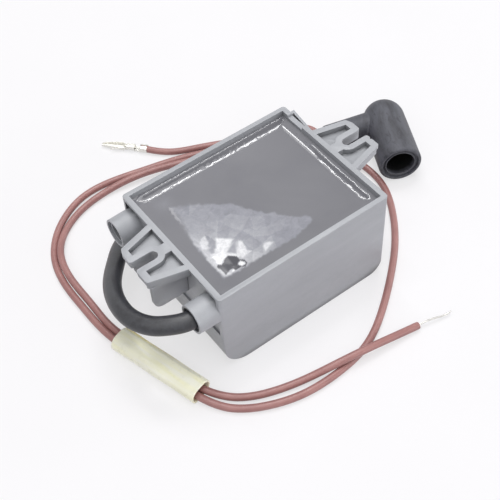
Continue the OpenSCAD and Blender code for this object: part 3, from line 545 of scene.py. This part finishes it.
def outline_edge(e):
    """True for the top edges on the outside of the case, its ears and their slots."""
    a, b = (v.co / MM for v in e.verts)
    if min(a.z, b.z) < TOP_EDGE_Z:
        return False
    inner = all(abs(p.x) < CAVITY_X and abs(p.y) < CAVITY_Y for p in (a, b))
    low = min((f.calc_center_median() / MM for f in e.link_faces), key=lambda c: c.z)
    pocket = all(abs(p.x) > EAR_ROOT_X for p in (a, b)) and low.z > POCKET_WALL_Z
    return not inner and not pocket


def bevel(bm, edges, width, segments):
    """Bevels edges by this width in millimetres, or by less where a short edge clamps it."""
    bmesh.ops.bevel(bm, geom=edges, offset=width * MM, offset_type="OFFSET", segments=segments,
                    profile=0.5, affect="EDGES", clamp_overlap=True)


bm = merged_copy("case")
bevel(bm, [e for e in hard_edges(bm, 32) if outline_edge(e)], OUTLINE_WIDTH, 3)
bevel(bm, hard_edges(bm, 35), EDGE_WIDTH, 2)
case = make_object("case_shell", bm, CASE)
sharpen(case, 40)
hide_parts("case")

# Resin surface: a skin over the CAD resin, with its rise at the walls and the crinkled corner

IN_X, IN_Y = 32.96, 26.7
LEVEL = 35.05
SKIN_FOOT = 34.7
EDGE_BAND = 6
EDGE_STEP = 0.16
MIDDLE_STEP = 0.38
SLOPE_SOFTNESS = 0.35
RIPPLES = 26
RIPPLE_HEIGHT = 0.0015  # For each millimetre of a ripple's own length
FOLD_POINTS = 80
FOLD_TRIES = 6000

# Rise at the two far walls: places across the resin, and the slope at each
FAR_X = ([28.8, 29.3, 30.2, 30.8, 32.3], [0, 0.2, 0.25, 0.45, 0.06])
FAR_Y = ([22.8, 23.3, 24.2, 25.3, 26.2, 26.75], [0, 0.23, 0.29, 0.75, 0.12, 0.05])
# Rise at the two near walls: distances from the wall, and the slope at each
NEAR = ([5.6, 4, 2, 0.4, 0], [0, 0.1, 0.32, 0.42, 0.42])

# Film, its paler tone painted reflection: its outline, its facets with how bright each painted reflection
# is, the hole in it, and bright spots of painted highlight there
FILM = [(-25.5, 14), (-24, 18), (-19.9, 15.6), (-17.2, 14.2), (-9.2, 7.1), (-5.6, 4.3), (-3.4, -0.4),
        (-0.6, -4.2), (0.5, -6.1), (3, -7.4), (3.2, -9.1), (8, -14.2), (10.1, -14.9), (10.9, -16.3),
        (10.9, -18.6), (1.5, -20.9), (-9.7, -20.3), (-19.8, -20.4), (-27, -20), (-27.1, -10.4),
        (-26.7, -0.2), (-26.4, 6)]
FACETS = [
    (0.92, [(-19.3, -4.2), (-14.6, -8.5), (-17.3, -9.7), (-20.2, -11.7), (-21.3, -11.3), (-22.3, -8.6)]),
    (0.8, [(-23.2, -1.5), (-21.4, -1.3), (-22.1, -4.8), (-24.5, -6.8), (-25.7, -5.8), (-24.9, -2.6)]),
    (1.0, [(-25.1, -10.1), (-23.1, -10.8), (-22.9, -13.3), (-24.1, -14.7), (-25, -14), (-24.6, -11.9)]),
    (0.88, [(-14.1, -9.8), (-13.2, -10.6), (-13.6, -13.6), (-14.9, -16.4), (-17.4, -16.8), (-17.7, -14.7)]),
    (1.0, [(-19.8, -17.7), (-18.3, -16.8), (-17.7, -19.2), (-19.6, -19.3)]),
    (0.85, [(-9.5, -16.9), (-8.1, -16.1), (-6.3, -16.6), (-5.4, -17.8), (-8.4, -18.8), (-9.9, -19.3)]),
    (0.3, [(-24.5, -6.8), (-21.4, -6.4), (-23.2, -9.6), (-24.6, -9)]),
    (0.4, [(-14.6, -9), (-20.2, -11.7), (-18.6, -13.5), (-17.7, -14.2)])]
HOLE = [(-22.6, -13.5), (-20.6, -12.9), (-18.4, -14.8), (-18.4, -16.5), (-17.3, -17.4), (-17.1, -19.3),
        (-18.7, -20.2), (-20.1, -19.4), (-21.9, -19.6), (-23, -18.2), (-25.9, -19.2), (-25.8, -16.5),
        (-26.2, -14.5), (-25.3, -13.7), (-24.4, -14.6), (-23.3, -14.3)]
SPOTS = [[(-19.6, -17.4), (-18.6, -17.3), (-17.7, -18.5), (-18, -19.3), (-19.4, -19.2), (-20.1, -18.1)],
         [(-23.1, -18.6), (-22.2, -18.4), (-22.3, -19.4), (-23.4, -19.6)]]


def grid_line(half):
    """Places across the resin, closer together near the walls."""
    middle = 2 * half - 2 * EDGE_BAND
    mid = np.arange(-half + EDGE_BAND, half - EDGE_BAND + 1e-6, middle / round(middle / MIDDLE_STEP))
    edge = np.arange(0, EDGE_BAND, EDGE_STEP)
    return np.concatenate([-half + edge, mid, (half - edge)[::-1]])


# Grid of places over the resin
gx, gy = np.meshgrid(grid_line(IN_X), grid_line(IN_Y))
ny, nx = gx.shape


def fade(x, start, length):
    """Smooth step that begins at start and is complete after length."""
    u = np.clip((x - start) / length, 0, 1)
    return u * u * (3 - 2 * u)


def glow(x, y, size):
    """One at a place on the resin, falling off round it."""
    return np.exp(-(np.hypot(gx - x, gy - y) / size) ** 2)


def rise(x, places, slopes):
    """Height of a rise whose slope runs softly through the given values at the given places."""
    t = np.linspace(places[0] - 0.5, 34, 800)
    step = t[1] - t[0]
    wide = int(SLOPE_SOFTNESS / step)
    slope = np.convolve(np.interp(t, places, slopes, left=0), np.ones(wide) / wide, "same")
    total = np.concatenate([[0], np.cumsum((slope[1:] + slope[:-1]) / 2 * step)])
    return np.interp(x, t, total, left=0)


def near_rise(x, wall):
    """Gentle rise towards one of the near walls."""
    return rise(x, [wall - d for d in NEAR[0]], NEAR[1])


def reach_into(points):
    """Distance inside a polygon at every place of the grid, less than nothing outside it."""
    poly = np.array(points)
    inside = np.zeros(gx.shape, bool)
    gap = np.full(gx.shape, 1e9)
    for (x0, y0), (x1, y1) in zip(poly, np.roll(poly, -1, axis=0)):
        inside ^= ((y0 > gy) != (y1 > gy)) & (gx < (x1 - x0) * (gy - y0) / (y1 - y0 + 1e-12) + x0)
        run = np.hypot(x1 - x0, y1 - y0)
        u = np.clip(((gx - x0) * (x1 - x0) + (gy - y0) * (y1 - y0)) / run ** 2, 0, 1)
        gap = np.minimum(gap, np.hypot(gx - x0 - u * (x1 - x0), gy - y0 - u * (y1 - y0)))
    return np.where(inside, gap, -gap)


def ripples():
    """Faint uneven waves that keep the bright lines from being ruler-straight."""
    rng = random.Random(3)
    total = np.zeros(gx.shape)
    for _ in range(RIPPLES):
        size = rng.uniform(1.0, 3.2)
        way = rng.uniform(0, math.pi)
        k = 2 * math.pi / size
        across = gx * math.cos(way) + gy * math.sin(way)
        total += RIPPLE_HEIGHT * size * np.sin(k * across + rng.uniform(0, 6))
    return total


def far_rise():
    """Rise at the two far walls, joined at their corner."""
    # One rise keeps closer to its wall towards the corner
    bow = 0.56 * fade(gy, -4, 16)
    to_x = gx - bow - FAR_X[0][0]
    to_y = gy - FAR_Y[0][0]
    # The corner between them is wide at its foot and sharp at its top
    deeper = np.maximum(to_x, to_y)
    bend = np.maximum(5.2 * (1 - fade(deeper, -0.8, 2.6)), 0.05)
    into = deeper + np.maximum(bend - np.abs(to_x - to_y), 0) ** 2 / (4 * bend)
    along_x = rise(into + FAR_X[0][0], *FAR_X) * fade(gy, -25.9, 5)
    along_y = rise(into + FAR_Y[0][0], *FAR_Y) * fade(gx, -32.6, 4.5)
    share = fade(to_y - to_x, -1.2, 2.4)
    return along_x * (1 - share) + along_y * share


def folds():
    """Height and shade of the film's crinkles, as flat triangles between scattered points."""
    rng = random.Random(11)
    points = []
    tries = 0
    while len(points) < FOLD_POINTS and tries < FOLD_TRIES:
        tries += 1
        c = (rng.uniform(-29, 14), rng.uniform(-24, 21))
        apart = 2.6 + min(math.hypot(c[0] + 20, c[1] + 15), 20) * 0.1
        if all(math.hypot(c[0] - q[0], c[1] - q[1]) > apart for q in points):
            points.append(c)
    lifts = []
    for c in points:
        most = 0.1 + 0.22 * math.exp(-(math.hypot(c[0] + 19, c[1] + 14) / 7) ** 2)
        lifts.append((rng.uniform(-1, 1) + 1) * most)
    tris = geometry.delaunay_2d_cdt([Vector(c) for c in points], [], [], 0, 1e-5)[2]
    crumple = np.zeros(gx.shape)
    shade = np.zeros(gx.shape)
    for tri in tris:
        (ax, ay), (bx, by), (cx, cy) = (points[i] for i in tri)
        det = (by - cy) * (ax - cx) + (cx - bx) * (ay - cy)
        w0 = ((by - cy) * (gx - cx) + (cx - bx) * (gy - cy)) / det
        w1 = ((cy - ay) * (gx - cx) + (ax - cx) * (gy - cy)) / det
        w2 = 1 - w0 - w1
        hit = (w0 >= -1e-9) & (w1 >= -1e-9) & (w2 >= -1e-9)
        crumple[hit] = (w0 * lifts[tri[0]] + w1 * lifts[tri[1]] + w2 * lifts[tri[2]])[hit]
        shade[hit] = rng.uniform(-1, 1)
    return crumple, shade


ragged = ripples()
crumple, shade = folds()
reach = reach_into(FILM) + 12 * ragged  # The film's outline is uneven too

height = LEVEL + far_rise() + near_rise(-gx, IN_X) + near_rise(-gy, IN_Y)
height = height + ragged * np.minimum(fade(gx, 27.5, 2) + fade(gy, 21.5, 2), 1)
height = height + 0.5 * crumple * fade(reach, 0, 3)

# Painted reflection on the film, how bright it is: brighter towards its corner and along its edge there
painted_reflection = 0.26 + 0.5 * glow(-21, -14, 11) + 0.12 * shade * (1 + glow(-21, -14, 12))
painted_reflection = np.maximum(painted_reflection, 0.8 * np.exp(-((reach - 1.2) / 1.1) ** 2) * glow(-25, -16, 16))
for whiteness, points in FACETS:
    share = fade(reach_into(points), -0.3, 0.9)
    painted_reflection = painted_reflection * (1 - share) + whiteness * share

# How dark the resin is: darker in the hole, but with bright spots of painted highlight there, and painted
# shade on the steep part of the far rises
dark = fade(reach_into(HOLE), -0.15, 0.4)
for points in SPOTS:
    share = fade(reach_into(points), -0.2, 0.4)
    dark = dark * (1 - share)
    painted_reflection = np.maximum(painted_reflection, share)
steep_y = fade(gy, 24, 0.6) * fade(-gy, -26.1, 0.5) * fade(gx, -31, 3)
steep_x = fade(gx, 30, 0.5) * fade(-gx, -31.8, 0.5) * fade(gy, -25, 3)
dark = np.maximum(dark, 0.75 * np.maximum(steep_x, steep_y))

# Where the film lies, with a softer left edge and a painted glow of reflection at its far tip
softness = 1.2 + 3.0 * glow(-25, 10, 9)
tip_glow = 0.55 * glow(-24.5, 19, 4.5)
film = np.maximum(fade(reach, -0.5, softness), tip_glow)
painted_reflection = np.clip(np.maximum(painted_reflection, 0.6 * tip_glow), 0, 1)

bm = bmesh.new()
top = [[bm.verts.new(Vector((gx[j, i], gy[j, i], height[j, i])) * MM) for i in range(nx)]
       for j in range(ny)]
paint = bm.loops.layers.color.new("skin")
for j in range(ny - 1):
    for i in range(nx - 1):
        corners = ((j, i), (j, i + 1), (j + 1, i + 1), (j + 1, i))
        f = bm.faces.new([top[a][b] for a, b in corners])
        for loop, c in zip(f.loops, corners):
            loop[paint] = (float(film[c]), float(painted_reflection[c]), float(dark[c]), 1)
rim = [top[0][i] for i in range(nx)] + [top[j][nx - 1] for j in range(1, ny)]
rim += [top[ny - 1][i] for i in range(nx - 2, -1, -1)] + [top[j][0] for j in range(ny - 2, 0, -1)]
foot = [bm.verts.new(Vector((v.co.x, v.co.y, SKIN_FOOT * MM))) for v in rim]
for k in range(len(rim)):
    j = (k + 1) % len(rim)
    bm.faces.new((rim[j], rim[k], foot[k], foot[j]))
bm.faces.new(foot)
skin = make_object("resin_surface", bm, RESIN)
sharpen(skin, 60)

# Boot: turned barrel and stem, melted into one moulded skin. Its profiles start inside

MOUTH = np.array((69, -0.3, 8.4))
BACK = np.array((80.452, 22.372, 8.4))
BARREL_R = 8.4
BARREL_DOME = 25.3
MOUTH_EDGE = 1.1
BORE_R, BORE_DEPTH = 5.4, 20
CHAMBER_R, CHAMBER_DEPTH = 4.2, 29
STEM_R, STEM_BORE_R = 5.2, 3.3
STEM_START, STEM_LENGTH = 5.4, 25
VOXEL = 0.27


def level_way(heading):
    """Unit vector that looks back along a level heading."""
    return np.array((-math.cos(heading), -math.sin(heading), 0))


def turned(start, heading, profile, sides=96):
    """Rings of a body turned round a level axis; profile is (distance along, radius)."""
    way = level_way(heading)
    side = np.array((-way[1], way[0], 0))
    angles = np.linspace(0, 2 * math.pi, sides, endpoint=False)
    around = np.cos(angles)[:, None] * side + np.sin(angles)[:, None] * UP
    return [start + way * a + r * around for a, r in profile]


def arc(center, radius, start, end, count):
    """Points of an arc, as (distance along, radius); its ends are given in degrees."""
    return [(center[0] + radius * math.cos(a), center[1] + radius * math.sin(a))
            for a in np.radians(np.linspace(start, end, count))]


barrel = [(CHAMBER_DEPTH, 0.01), (CHAMBER_DEPTH, CHAMBER_R), (BORE_DEPTH, CHAMBER_R),
          (BORE_DEPTH, BORE_R), (0.9, BORE_R), (0.5, 5.6), (0.45, 5.95), (0.6, 6.08), (1.25, 6.15),
          (1.3, 6.85), (0.3, 6.95), (0.05, 7.2)]
barrel += arc((MOUTH_EDGE, BARREL_R - MOUTH_EDGE), MOUTH_EDGE, 180, 90, 7)
barrel += [(a, BARREL_R) for a in (6, 12, 18)]
barrel += arc((BARREL_DOME, 0), BARREL_R, 90, 0.2, 22)
stem = [(STEM_START, STEM_BORE_R), (STEM_LENGTH, STEM_BORE_R), (25.3, 3.5), (25.4, 3.9),
        (25.4, 4.5), (25.2, 4.9), (24.7, 5.18), (9, STEM_R), (STEM_START, STEM_R)]

bm = bmesh.new()
add_rings(bm, turned(MOUTH, BARREL_HEADING, barrel))
rings = turned(BACK, STEM_HEADING, stem)
add_rings(bm, rings + [rings[0]], caps=False)
bmesh.ops.remove_doubles(bm, verts=bm.verts, dist=1e-7)
raw = make_object("boot_raw", bm, BOOT)
melt = raw.modifiers.new("melt", "REMESH")
melt.mode = "VOXEL"
melt.voxel_size = VOXEL * MM
melt.use_smooth_shade = True
relax = raw.modifiers.new("relax", "SMOOTH")
relax.factor = 0.5
relax.iterations = 3
melted = bpy.data.meshes.new_from_object(raw.evaluated_get(bpy.context.evaluated_depsgraph_get()))
bpy.data.objects.remove(raw)
bm = bmesh.new()
bm.from_mesh(melted)

# Painted shade: the inside of the barrel is painted dark, from just behind the mouth to near the chamber's
# end
PAINT_START, PAINT_END = 0.4, 27.5
PAINT_R = 6.3
PAINT_FADE = 2.5
paint = bm.loops.layers.color.new("bore")
bore_way = Vector(level_way(BARREL_HEADING))
for f in bm.faces:
    for loop in f.loops:
        p = loop.vert.co / MM - Vector(MOUTH)
        depth = p.dot(bore_way)
        deep = 0.0
        if PAINT_START < depth < PAINT_END and (p - bore_way * depth).length < PAINT_R:
            deep = min(1.0, (depth - PAINT_START) / PAINT_FADE)
        loop[paint] = (deep, 0, 0, 1)
boot = make_object("boot_body", bm, BOOT)
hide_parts("electrode_boot")

# Sleeve: thin flattened tube with shallow lengthwise folds

SLEEVE_START = np.array((-57.7, 2.6, 3.5))
SLEEVE_LENGTH = 36.4
SLEEVE_R = 3.5
SLEEVE_WALL = 0.6
SLEEVE_LIP = 0.12
HALF_FLAT = 1.2
SLEEVE_SIDES = 72
SLEEVE_WAY = np.array((math.cos(SLEEVE_HEADING), math.sin(SLEEVE_HEADING), 0))
SLEEVE_ACROSS = np.array((-math.sin(SLEEVE_HEADING), math.cos(SLEEVE_HEADING), 0))


def stadium(inset, k, s):
    """Point k round the sleeve at distance s, with folds and slightly drawn-in ends."""
    a = 2 * math.pi * k / SLEEVE_SIDES
    c, z = math.cos(a), math.sin(a)
    fold = 0.09 * math.sin(5 * a + 0.6) + 0.06 * math.sin(9 * a + 2 + s * 0.05)
    end = min(s, SLEEVE_LENGTH - s)
    draw = 0.12 * math.exp(-end / 1.2) * (1 + 0.6 * math.sin(3 * a + s))
    wave = 0.05 * math.sin(s * 0.35 + 2 * a)
    r = SLEEVE_R - inset + (fold - 0.12) * min(1, end / 2 + 0.3) + wave - draw
    flat = HALF_FLAT * (1 if c > 0 else -1) * min(1, abs(c) * 3)
    return flat + r * c, r * z * 0.995


def sleeve_ring(inset, s):
    """Ring of the sleeve at distance s, this far inside its outer face."""
    points = [stadium(inset, k, s) for k in range(SLEEVE_SIDES)]
    return [SLEEVE_START + SLEEVE_WAY * s + SLEEVE_ACROSS * a + UP * z for a, z in points]


def clamp(x):
    return max(0.0, min(1.0, x))


along = np.concatenate([[0.0, 0.15, 0.5], np.linspace(1.2, 35.2, 58), [35.9, 36.25, SLEEVE_LENGTH]])
lips = [SLEEVE_LIP if s in (along[0], along[-1]) else 0 for s in along]
rings = [sleeve_ring(lip, s) for s, lip in zip(along, lips)]
rings += [sleeve_ring(SLEEVE_WALL - lip, s) for s, lip in zip(along[::-1], lips[::-1])]
bm = bmesh.new()
paint = bm.loops.layers.color.new("edge")
add_rings(bm, rings + rings[:1], caps=False)
bmesh.ops.remove_doubles(bm, verts=bm.verts, dist=1e-8)

# Painted red where the far side gets a painted yellow glow of light through the plastic, and green at its
# greyer first end
for f in bm.faces:
    for loop in f.loops:
        p = np.array(loop.vert.co) / MM - SLEEVE_START
        s = float(np.dot(p, SLEEVE_WAY))
        a = float(np.dot(p, SLEEVE_ACROSS))
        flank_glow = clamp((a - 2.2) / 1.6) * clamp((float(p[2]) + 2.6) / 2)
        flank_glow *= max(0.15, 1 - max(0, s - 6) / 30)
        loop[paint] = (flank_glow, 0.6 * math.exp(-s / 3.5), 0, 1)
sleeve = make_object("sleeve_tube", bm, SLEEVE)
sharpen(sleeve, 60)
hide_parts("lead_sleeve")

# Crimp terminal: one folded plate, from the insulation wings to the tip of the channel

TERMINAL_AT = Vector((-1, 77.2, 1.75))
TERMINAL_TURN = math.radians(131.6)
PLATE = 0.3
THIN_STEP = 0.5
THIN_SIDES = 8


def mirrored(points):
    """Left half of a middle line, and the same points mirrored on the right."""
    return points + [(-y, z) for y, z in points[-2::-1]]


def circle_view(r, gap):
    """Middle line of a plate rolled round a wire, open by gap degrees at the top."""
    return [(r * math.cos(math.radians(a)), r * math.sin(math.radians(a)))
            for a in np.linspace(90 + gap / 2, 450 - gap / 2, 17)]


def channel_view(half, wall, z0, lean=0.0):
    """Middle line of an open channel with rounded lower corners."""
    c = min(0.35, half * 0.5)
    return mirrored([
        (-half - lean, z0 + wall), (-half - lean * 0.6, z0 + wall * 0.75),
        (-half - lean * 0.3, z0 + wall * 0.5), (-half, z0 + c * 1.2),
        (-half + c * 0.1, z0 + c * 0.6), (-half + c * 0.4, z0 + c * 0.2),
        (-half + c, z0), (-half * 0.3, z0), (0, z0)])


def barrel_view(r):
    """Middle line of a conductor crimp, its two edges rolled in at the top."""
    points = [(-0.12, 0.15), (-0.16, 0.55), (-0.35, 0.82), (-0.7, 0.78), (-0.95, 0.45), (-1.0, 0.0),
              (-0.85, -0.5), (-0.45, -0.72), (0, -0.76)]
    return mirrored([(y * r, z * r) for y, z in points])


def plate_rings(stations):
    """Rings round the plate's thickness at each station along the terminal."""
    rings = []
    for x, points in stations:
        p = np.array(points)
        t = np.gradient(p, axis=0)
        t /= np.linalg.norm(t, axis=1)[:, None]
        out = np.stack([-t[:, 1], t[:, 0]], axis=1) * PLATE / 2
        rings.append([(x, y, z) for y, z in np.concatenate([p + out, (p - out)[::-1]])])
    return rings


def small_tube(bm, points, r):
    """A thin wire through a few points."""
    add_rings(bm, tube_rings(smooth_line(points, THIN_STEP), r, THIN_SIDES, r * 0.4))


# Plate at each station along the terminal, then the spring lance cut from its side
STATIONS = [
    (-2.5, circle_view(1.52, 30)), (-2.3, circle_view(1.56, 26)), (-1.4, circle_view(1.5, 22)),
    (-0.4, circle_view(1.52, 26)), (0.3, circle_view(1.56, 34)), (0.5, circle_view(1.5, 70)),
    (0.9, channel_view(1.15, 0.9, -1.35)), (1.6, channel_view(1.0, 0.7, -1.2)),
    (2.5, channel_view(1.0, 0.9, -1.1)), (2.8, barrel_view(1.28)), (3.1, barrel_view(1.22)),
    (4.4, barrel_view(1.16)), (5.7, barrel_view(1.2)), (6.1, barrel_view(1.3)),
    (6.5, channel_view(1.0, 1.1, -1.05)), (7.2, channel_view(1.15, 1.5, -1.1, 0.05)),
    (8.2, channel_view(1.35, 1.75, -1.15, 0.1)), (10.5, channel_view(1.25, 1.7, -1.15, 0.08)),
    (12.2, channel_view(1.15, 1.6, -1.15, 0.02)), (14.0, channel_view(0.95, 1.45, -1.12)),
    (15.6, channel_view(0.72, 1.2, -1.05)), (16.6, channel_view(0.55, 0.7, -0.95)),
    (17.0, channel_view(0.42, 0.35, -0.8))]
LANCE = [
    [(8.4, 1.3, -0.5), (8.4, 1.55, -0.5), (8.4, 1.55, 0.3), (8.4, 1.3, 0.3)],
    [(10.6, 1.7, -0.5), (10.6, 1.95, -0.5), (10.6, 1.95, 0.2), (10.6, 1.7, 0.2)],
    [(12.6, 2.35, -0.4), (12.6, 2.6, -0.4), (12.6, 2.6, 0.0), (12.6, 2.35, 0.0)]]

placed = Matrix.Translation(TERMINAL_AT * MM) @ Matrix.Rotation(TERMINAL_TURN, 4, "Z")
bm = bmesh.new()
add_rings(bm, plate_rings(STATIONS))
add_rings(bm, LANCE)
bmesh.ops.transform(bm, matrix=placed, verts=bm.verts)
bmesh.ops.triangulate(bm, faces=[f for f in bm.faces if len(f.verts) > 4])
terminal = make_object("terminal_plate", bm, TIN)
sharpen(terminal, 45)
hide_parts("crimp_terminal")

# Conductor of that lead: six strands round one through the crimp, and two that are bent out

CORE_SPREAD = 0.34
CORE_STRAND_R = 0.15
STRAY_R = 0.13

bm = bmesh.new()
for k in range(7):
    a = 2 * math.pi * k / 6
    y, z = (0, 0) if k == 6 else (CORE_SPREAD * math.cos(a), CORE_SPREAD * math.sin(a))
    small_tube(bm, [(-2.2, y, z), (0.8, y, z), (2.4, y * 0.8, z * 0.8 - 0.1),
                    (4.5, y * 0.8, z * 0.8 - 0.1), (6.9 + 0.15 * k, y * 1.1, z * 1.1 - 0.1)],
               CORE_STRAND_R)
small_tube(bm, [(0.6, 0.5, 0.2), (1.2, 1.4, 0.5), (1.9, 1.9, 0.1), (2.5, 1.7, -0.6)], STRAY_R)
small_tube(bm, [(6.0, 0.5, 0.2), (6.6, 1.3, 0.4), (7.1, 1.7, -0.2), (7.3, 1.75, -0.9)], STRAY_R)
bmesh.ops.transform(bm, matrix=placed, verts=bm.verts)
core_a = make_object("terminal_strands", bm, TIN)

# Bare end of the other lead: eight strands round one, loosely twisted and fanned out

STRAND_SPREAD = 0.25
STRAND_R = 0.12
STRAND_TWIST = 3.2
STRAND_LOWEST = 0.17
STRAND_STEP = 0.4

base = smooth_line(STRAND_ROUTE, STRAND_STEP)
_, side_a, side_b = frames(base)
bm = bmesh.new()
rng = random.Random(5)
for k in range(9):
    phase = 2 * math.pi * k / 8
    own = 0 if k == 8 else STRAND_SPREAD
    length = 1.0 - 0.13 * rng.random()
    wander = rng.uniform(-0.35, 0.35)
    line = []
    for i in range(int(len(base) * length)):
        u = i / len(base)
        a = phase + STRAND_TWIST * u
        r = own * (1 + 0.9 * max(0, u - 0.45) * (1 + wander))
        p = base[i] + r * (math.cos(a) * side_a[i] + math.sin(a) * side_b[i])
        p = p + side_a[i] * wander * 1.4 * max(0, u - 0.35) ** 1.4
        p[2] = max(p[2], STRAND_LOWEST)
        line.append(p)
    add_rings(bm, tube_rings(np.array(line), STRAND_R, THIN_SIDES, 0.05))
strands = make_object("bare_end_strands", bm, STRAND_TIN)
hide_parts("bare_strands")

# The cords' CAD nodes are hidden; the rest of each row is not used

for obj, node, slot, path, radius, end, pieces in (
        (cable, "ht_cable", "cable_rubber", cable_path, CABLE_R, "connector",
         [boot, nodes["boot_contact"]]),
        (lead_a, "terminal_lead", "lead_insulation", terminal_path, LEAD_R, "connector",
         [terminal, core_a, sleeve]),
        (lead_b, "bare_lead", "lead_insulation", bare_path, LEAD_R, "bare", [strands])):
    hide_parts(node)

# Floor and background: pale to the camera and in reflections, with the object's shadow kept

FLOOR_GLOW = 0.6
AMBIENT = 0.16


def seen_rays(tree):
    """One for camera, glossy and transmission rays, and nothing for the others."""
    rays = tree.nodes.new("ShaderNodeLightPath")
    seen = rays.outputs["Is Camera Ray"]
    for kind in ("Is Glossy Ray", "Is Transmission Ray"):
        larger = tree.nodes.new("ShaderNodeMath")
        larger.operation = "MAXIMUM"
        tree.links.new(seen, larger.inputs[0])
        tree.links.new(rays.outputs[kind], larger.inputs[1])
        seen = larger.outputs[0]
    return seen


def between(tree, fac, least, most):
    """Value that runs from least to most with fac."""
    level = tree.nodes.new("ShaderNodeMapRange")
    level.inputs["To Min"].default_value = least
    level.inputs["To Max"].default_value = most
    tree.links.new(fac, level.inputs["Value"])
    return level.outputs[0]


m, t, s = new_material("floor")
shine = t.nodes.new("ShaderNodeEmission")
blend = t.nodes.new("ShaderNodeMixShader")
t.links.new(between(t, seen_rays(t), 0.0, FLOOR_GLOW), blend.inputs[0])
t.links.new(s.outputs[0], blend.inputs[1])
t.links.new(shine.outputs[0], blend.inputs[2])
t.links.new(blend.outputs[0], t.nodes["Material Output"].inputs[0])
cloud = noise_node(t, coords(t), 0.02, detail=2)
finish_shader(t, s, ramp(t, cloud, (0.82, 0.8, 0.84), (0.84, 0.82, 0.86)), 0.9)
bm = bmesh.new()
bmesh.ops.create_grid(bm, x_segments=4, y_segments=4, size=3.0)
mesh = bpy.data.meshes.new("floor")
bm.to_mesh(mesh)
bm.free()
mesh.materials.append(m)
floor = bpy.data.objects.new("floor", mesh)
bpy.context.collection.objects.link(floor)

world = bpy.data.worlds.new("world")
bpy.context.scene.world = world
world.use_nodes = True
tree = world.node_tree
background = tree.nodes["Background"]
background.inputs["Color"].default_value = (1, 1, 1, 1)
tree.links.new(between(tree, seen_rays(tree), AMBIENT, 1.0), background.inputs["Strength"])

# Lamps

LIT_POINT = Vector((0, 0, 0.03))
# Name, direction from the case, distance and two sides in metres, radiance, way of the long side.
# The resin's far rises mirror the narrow ones as bright lines
LAMPS = [
    ("top", (0.05, 0, 1), 1.1, 0.75, 0.75, 2.1, (1, 0, 0)),
    ("tent", (-0.42, -0.25, 0.88), 1.2, 1.7, 1.7, 1.03, (1, 0, 0)),
    ("side", (0.5, -0.85, 0.25), 1.3, 1.1, 0.5, 2.6, (0.85, 0.5, 0)),
    ("right", (0.95, -0.1, 0.25), 1.2, 0.6, 0.4, 3, (0, 1, 0)),
    ("strip_back", (0.355, 0.19, 0.915), 1.1, 0.34, 0.09, 16, (1, 0, 0)),
    ("strip_side", (0.125, 0.526, 0.84), 1.1, 0.34, 0.07, 16, (0, 1, 0)),
    ("glow_back", (0.355, 0.31, 0.88), 1.1, 0.34, 0.14, 3, (1, 0, 0)),
    ("glow_side", (0.21, 0.526, 0.824), 1.1, 0.34, 0.1, 3, (0, 1, 0)),
    ("strip_corner", (0.2, 0.33, 0.92), 1.1, 0.14, 0.07, 16, (1, -1, 0)),
]


def softbox(name, direction, distance, long_side, short_side, radiance, along):
    """Rectangular lamp that faces the case and sends out the given radiance."""
    lamp = bpy.data.lights.new(name, "AREA")
    lamp.shape = "RECTANGLE"
    lamp.size = long_side
    lamp.size_y = short_side
    lamp.energy = radiance * math.pi * long_side * short_side
    obj = bpy.data.objects.new(name, lamp)
    back = Vector(direction).normalized()
    along = Vector(along)
    along = (along - back * along.dot(back)).normalized()
    turn = Matrix((along, back.cross(along), back)).transposed().to_4x4()
    obj.matrix_world = Matrix.Translation(LIT_POINT + back * distance) @ turn
    bpy.context.collection.objects.link(obj)


for lamp in LAMPS:
    softbox(*lamp)

bpy.context.scene.view_settings.view_transform = "Standard"
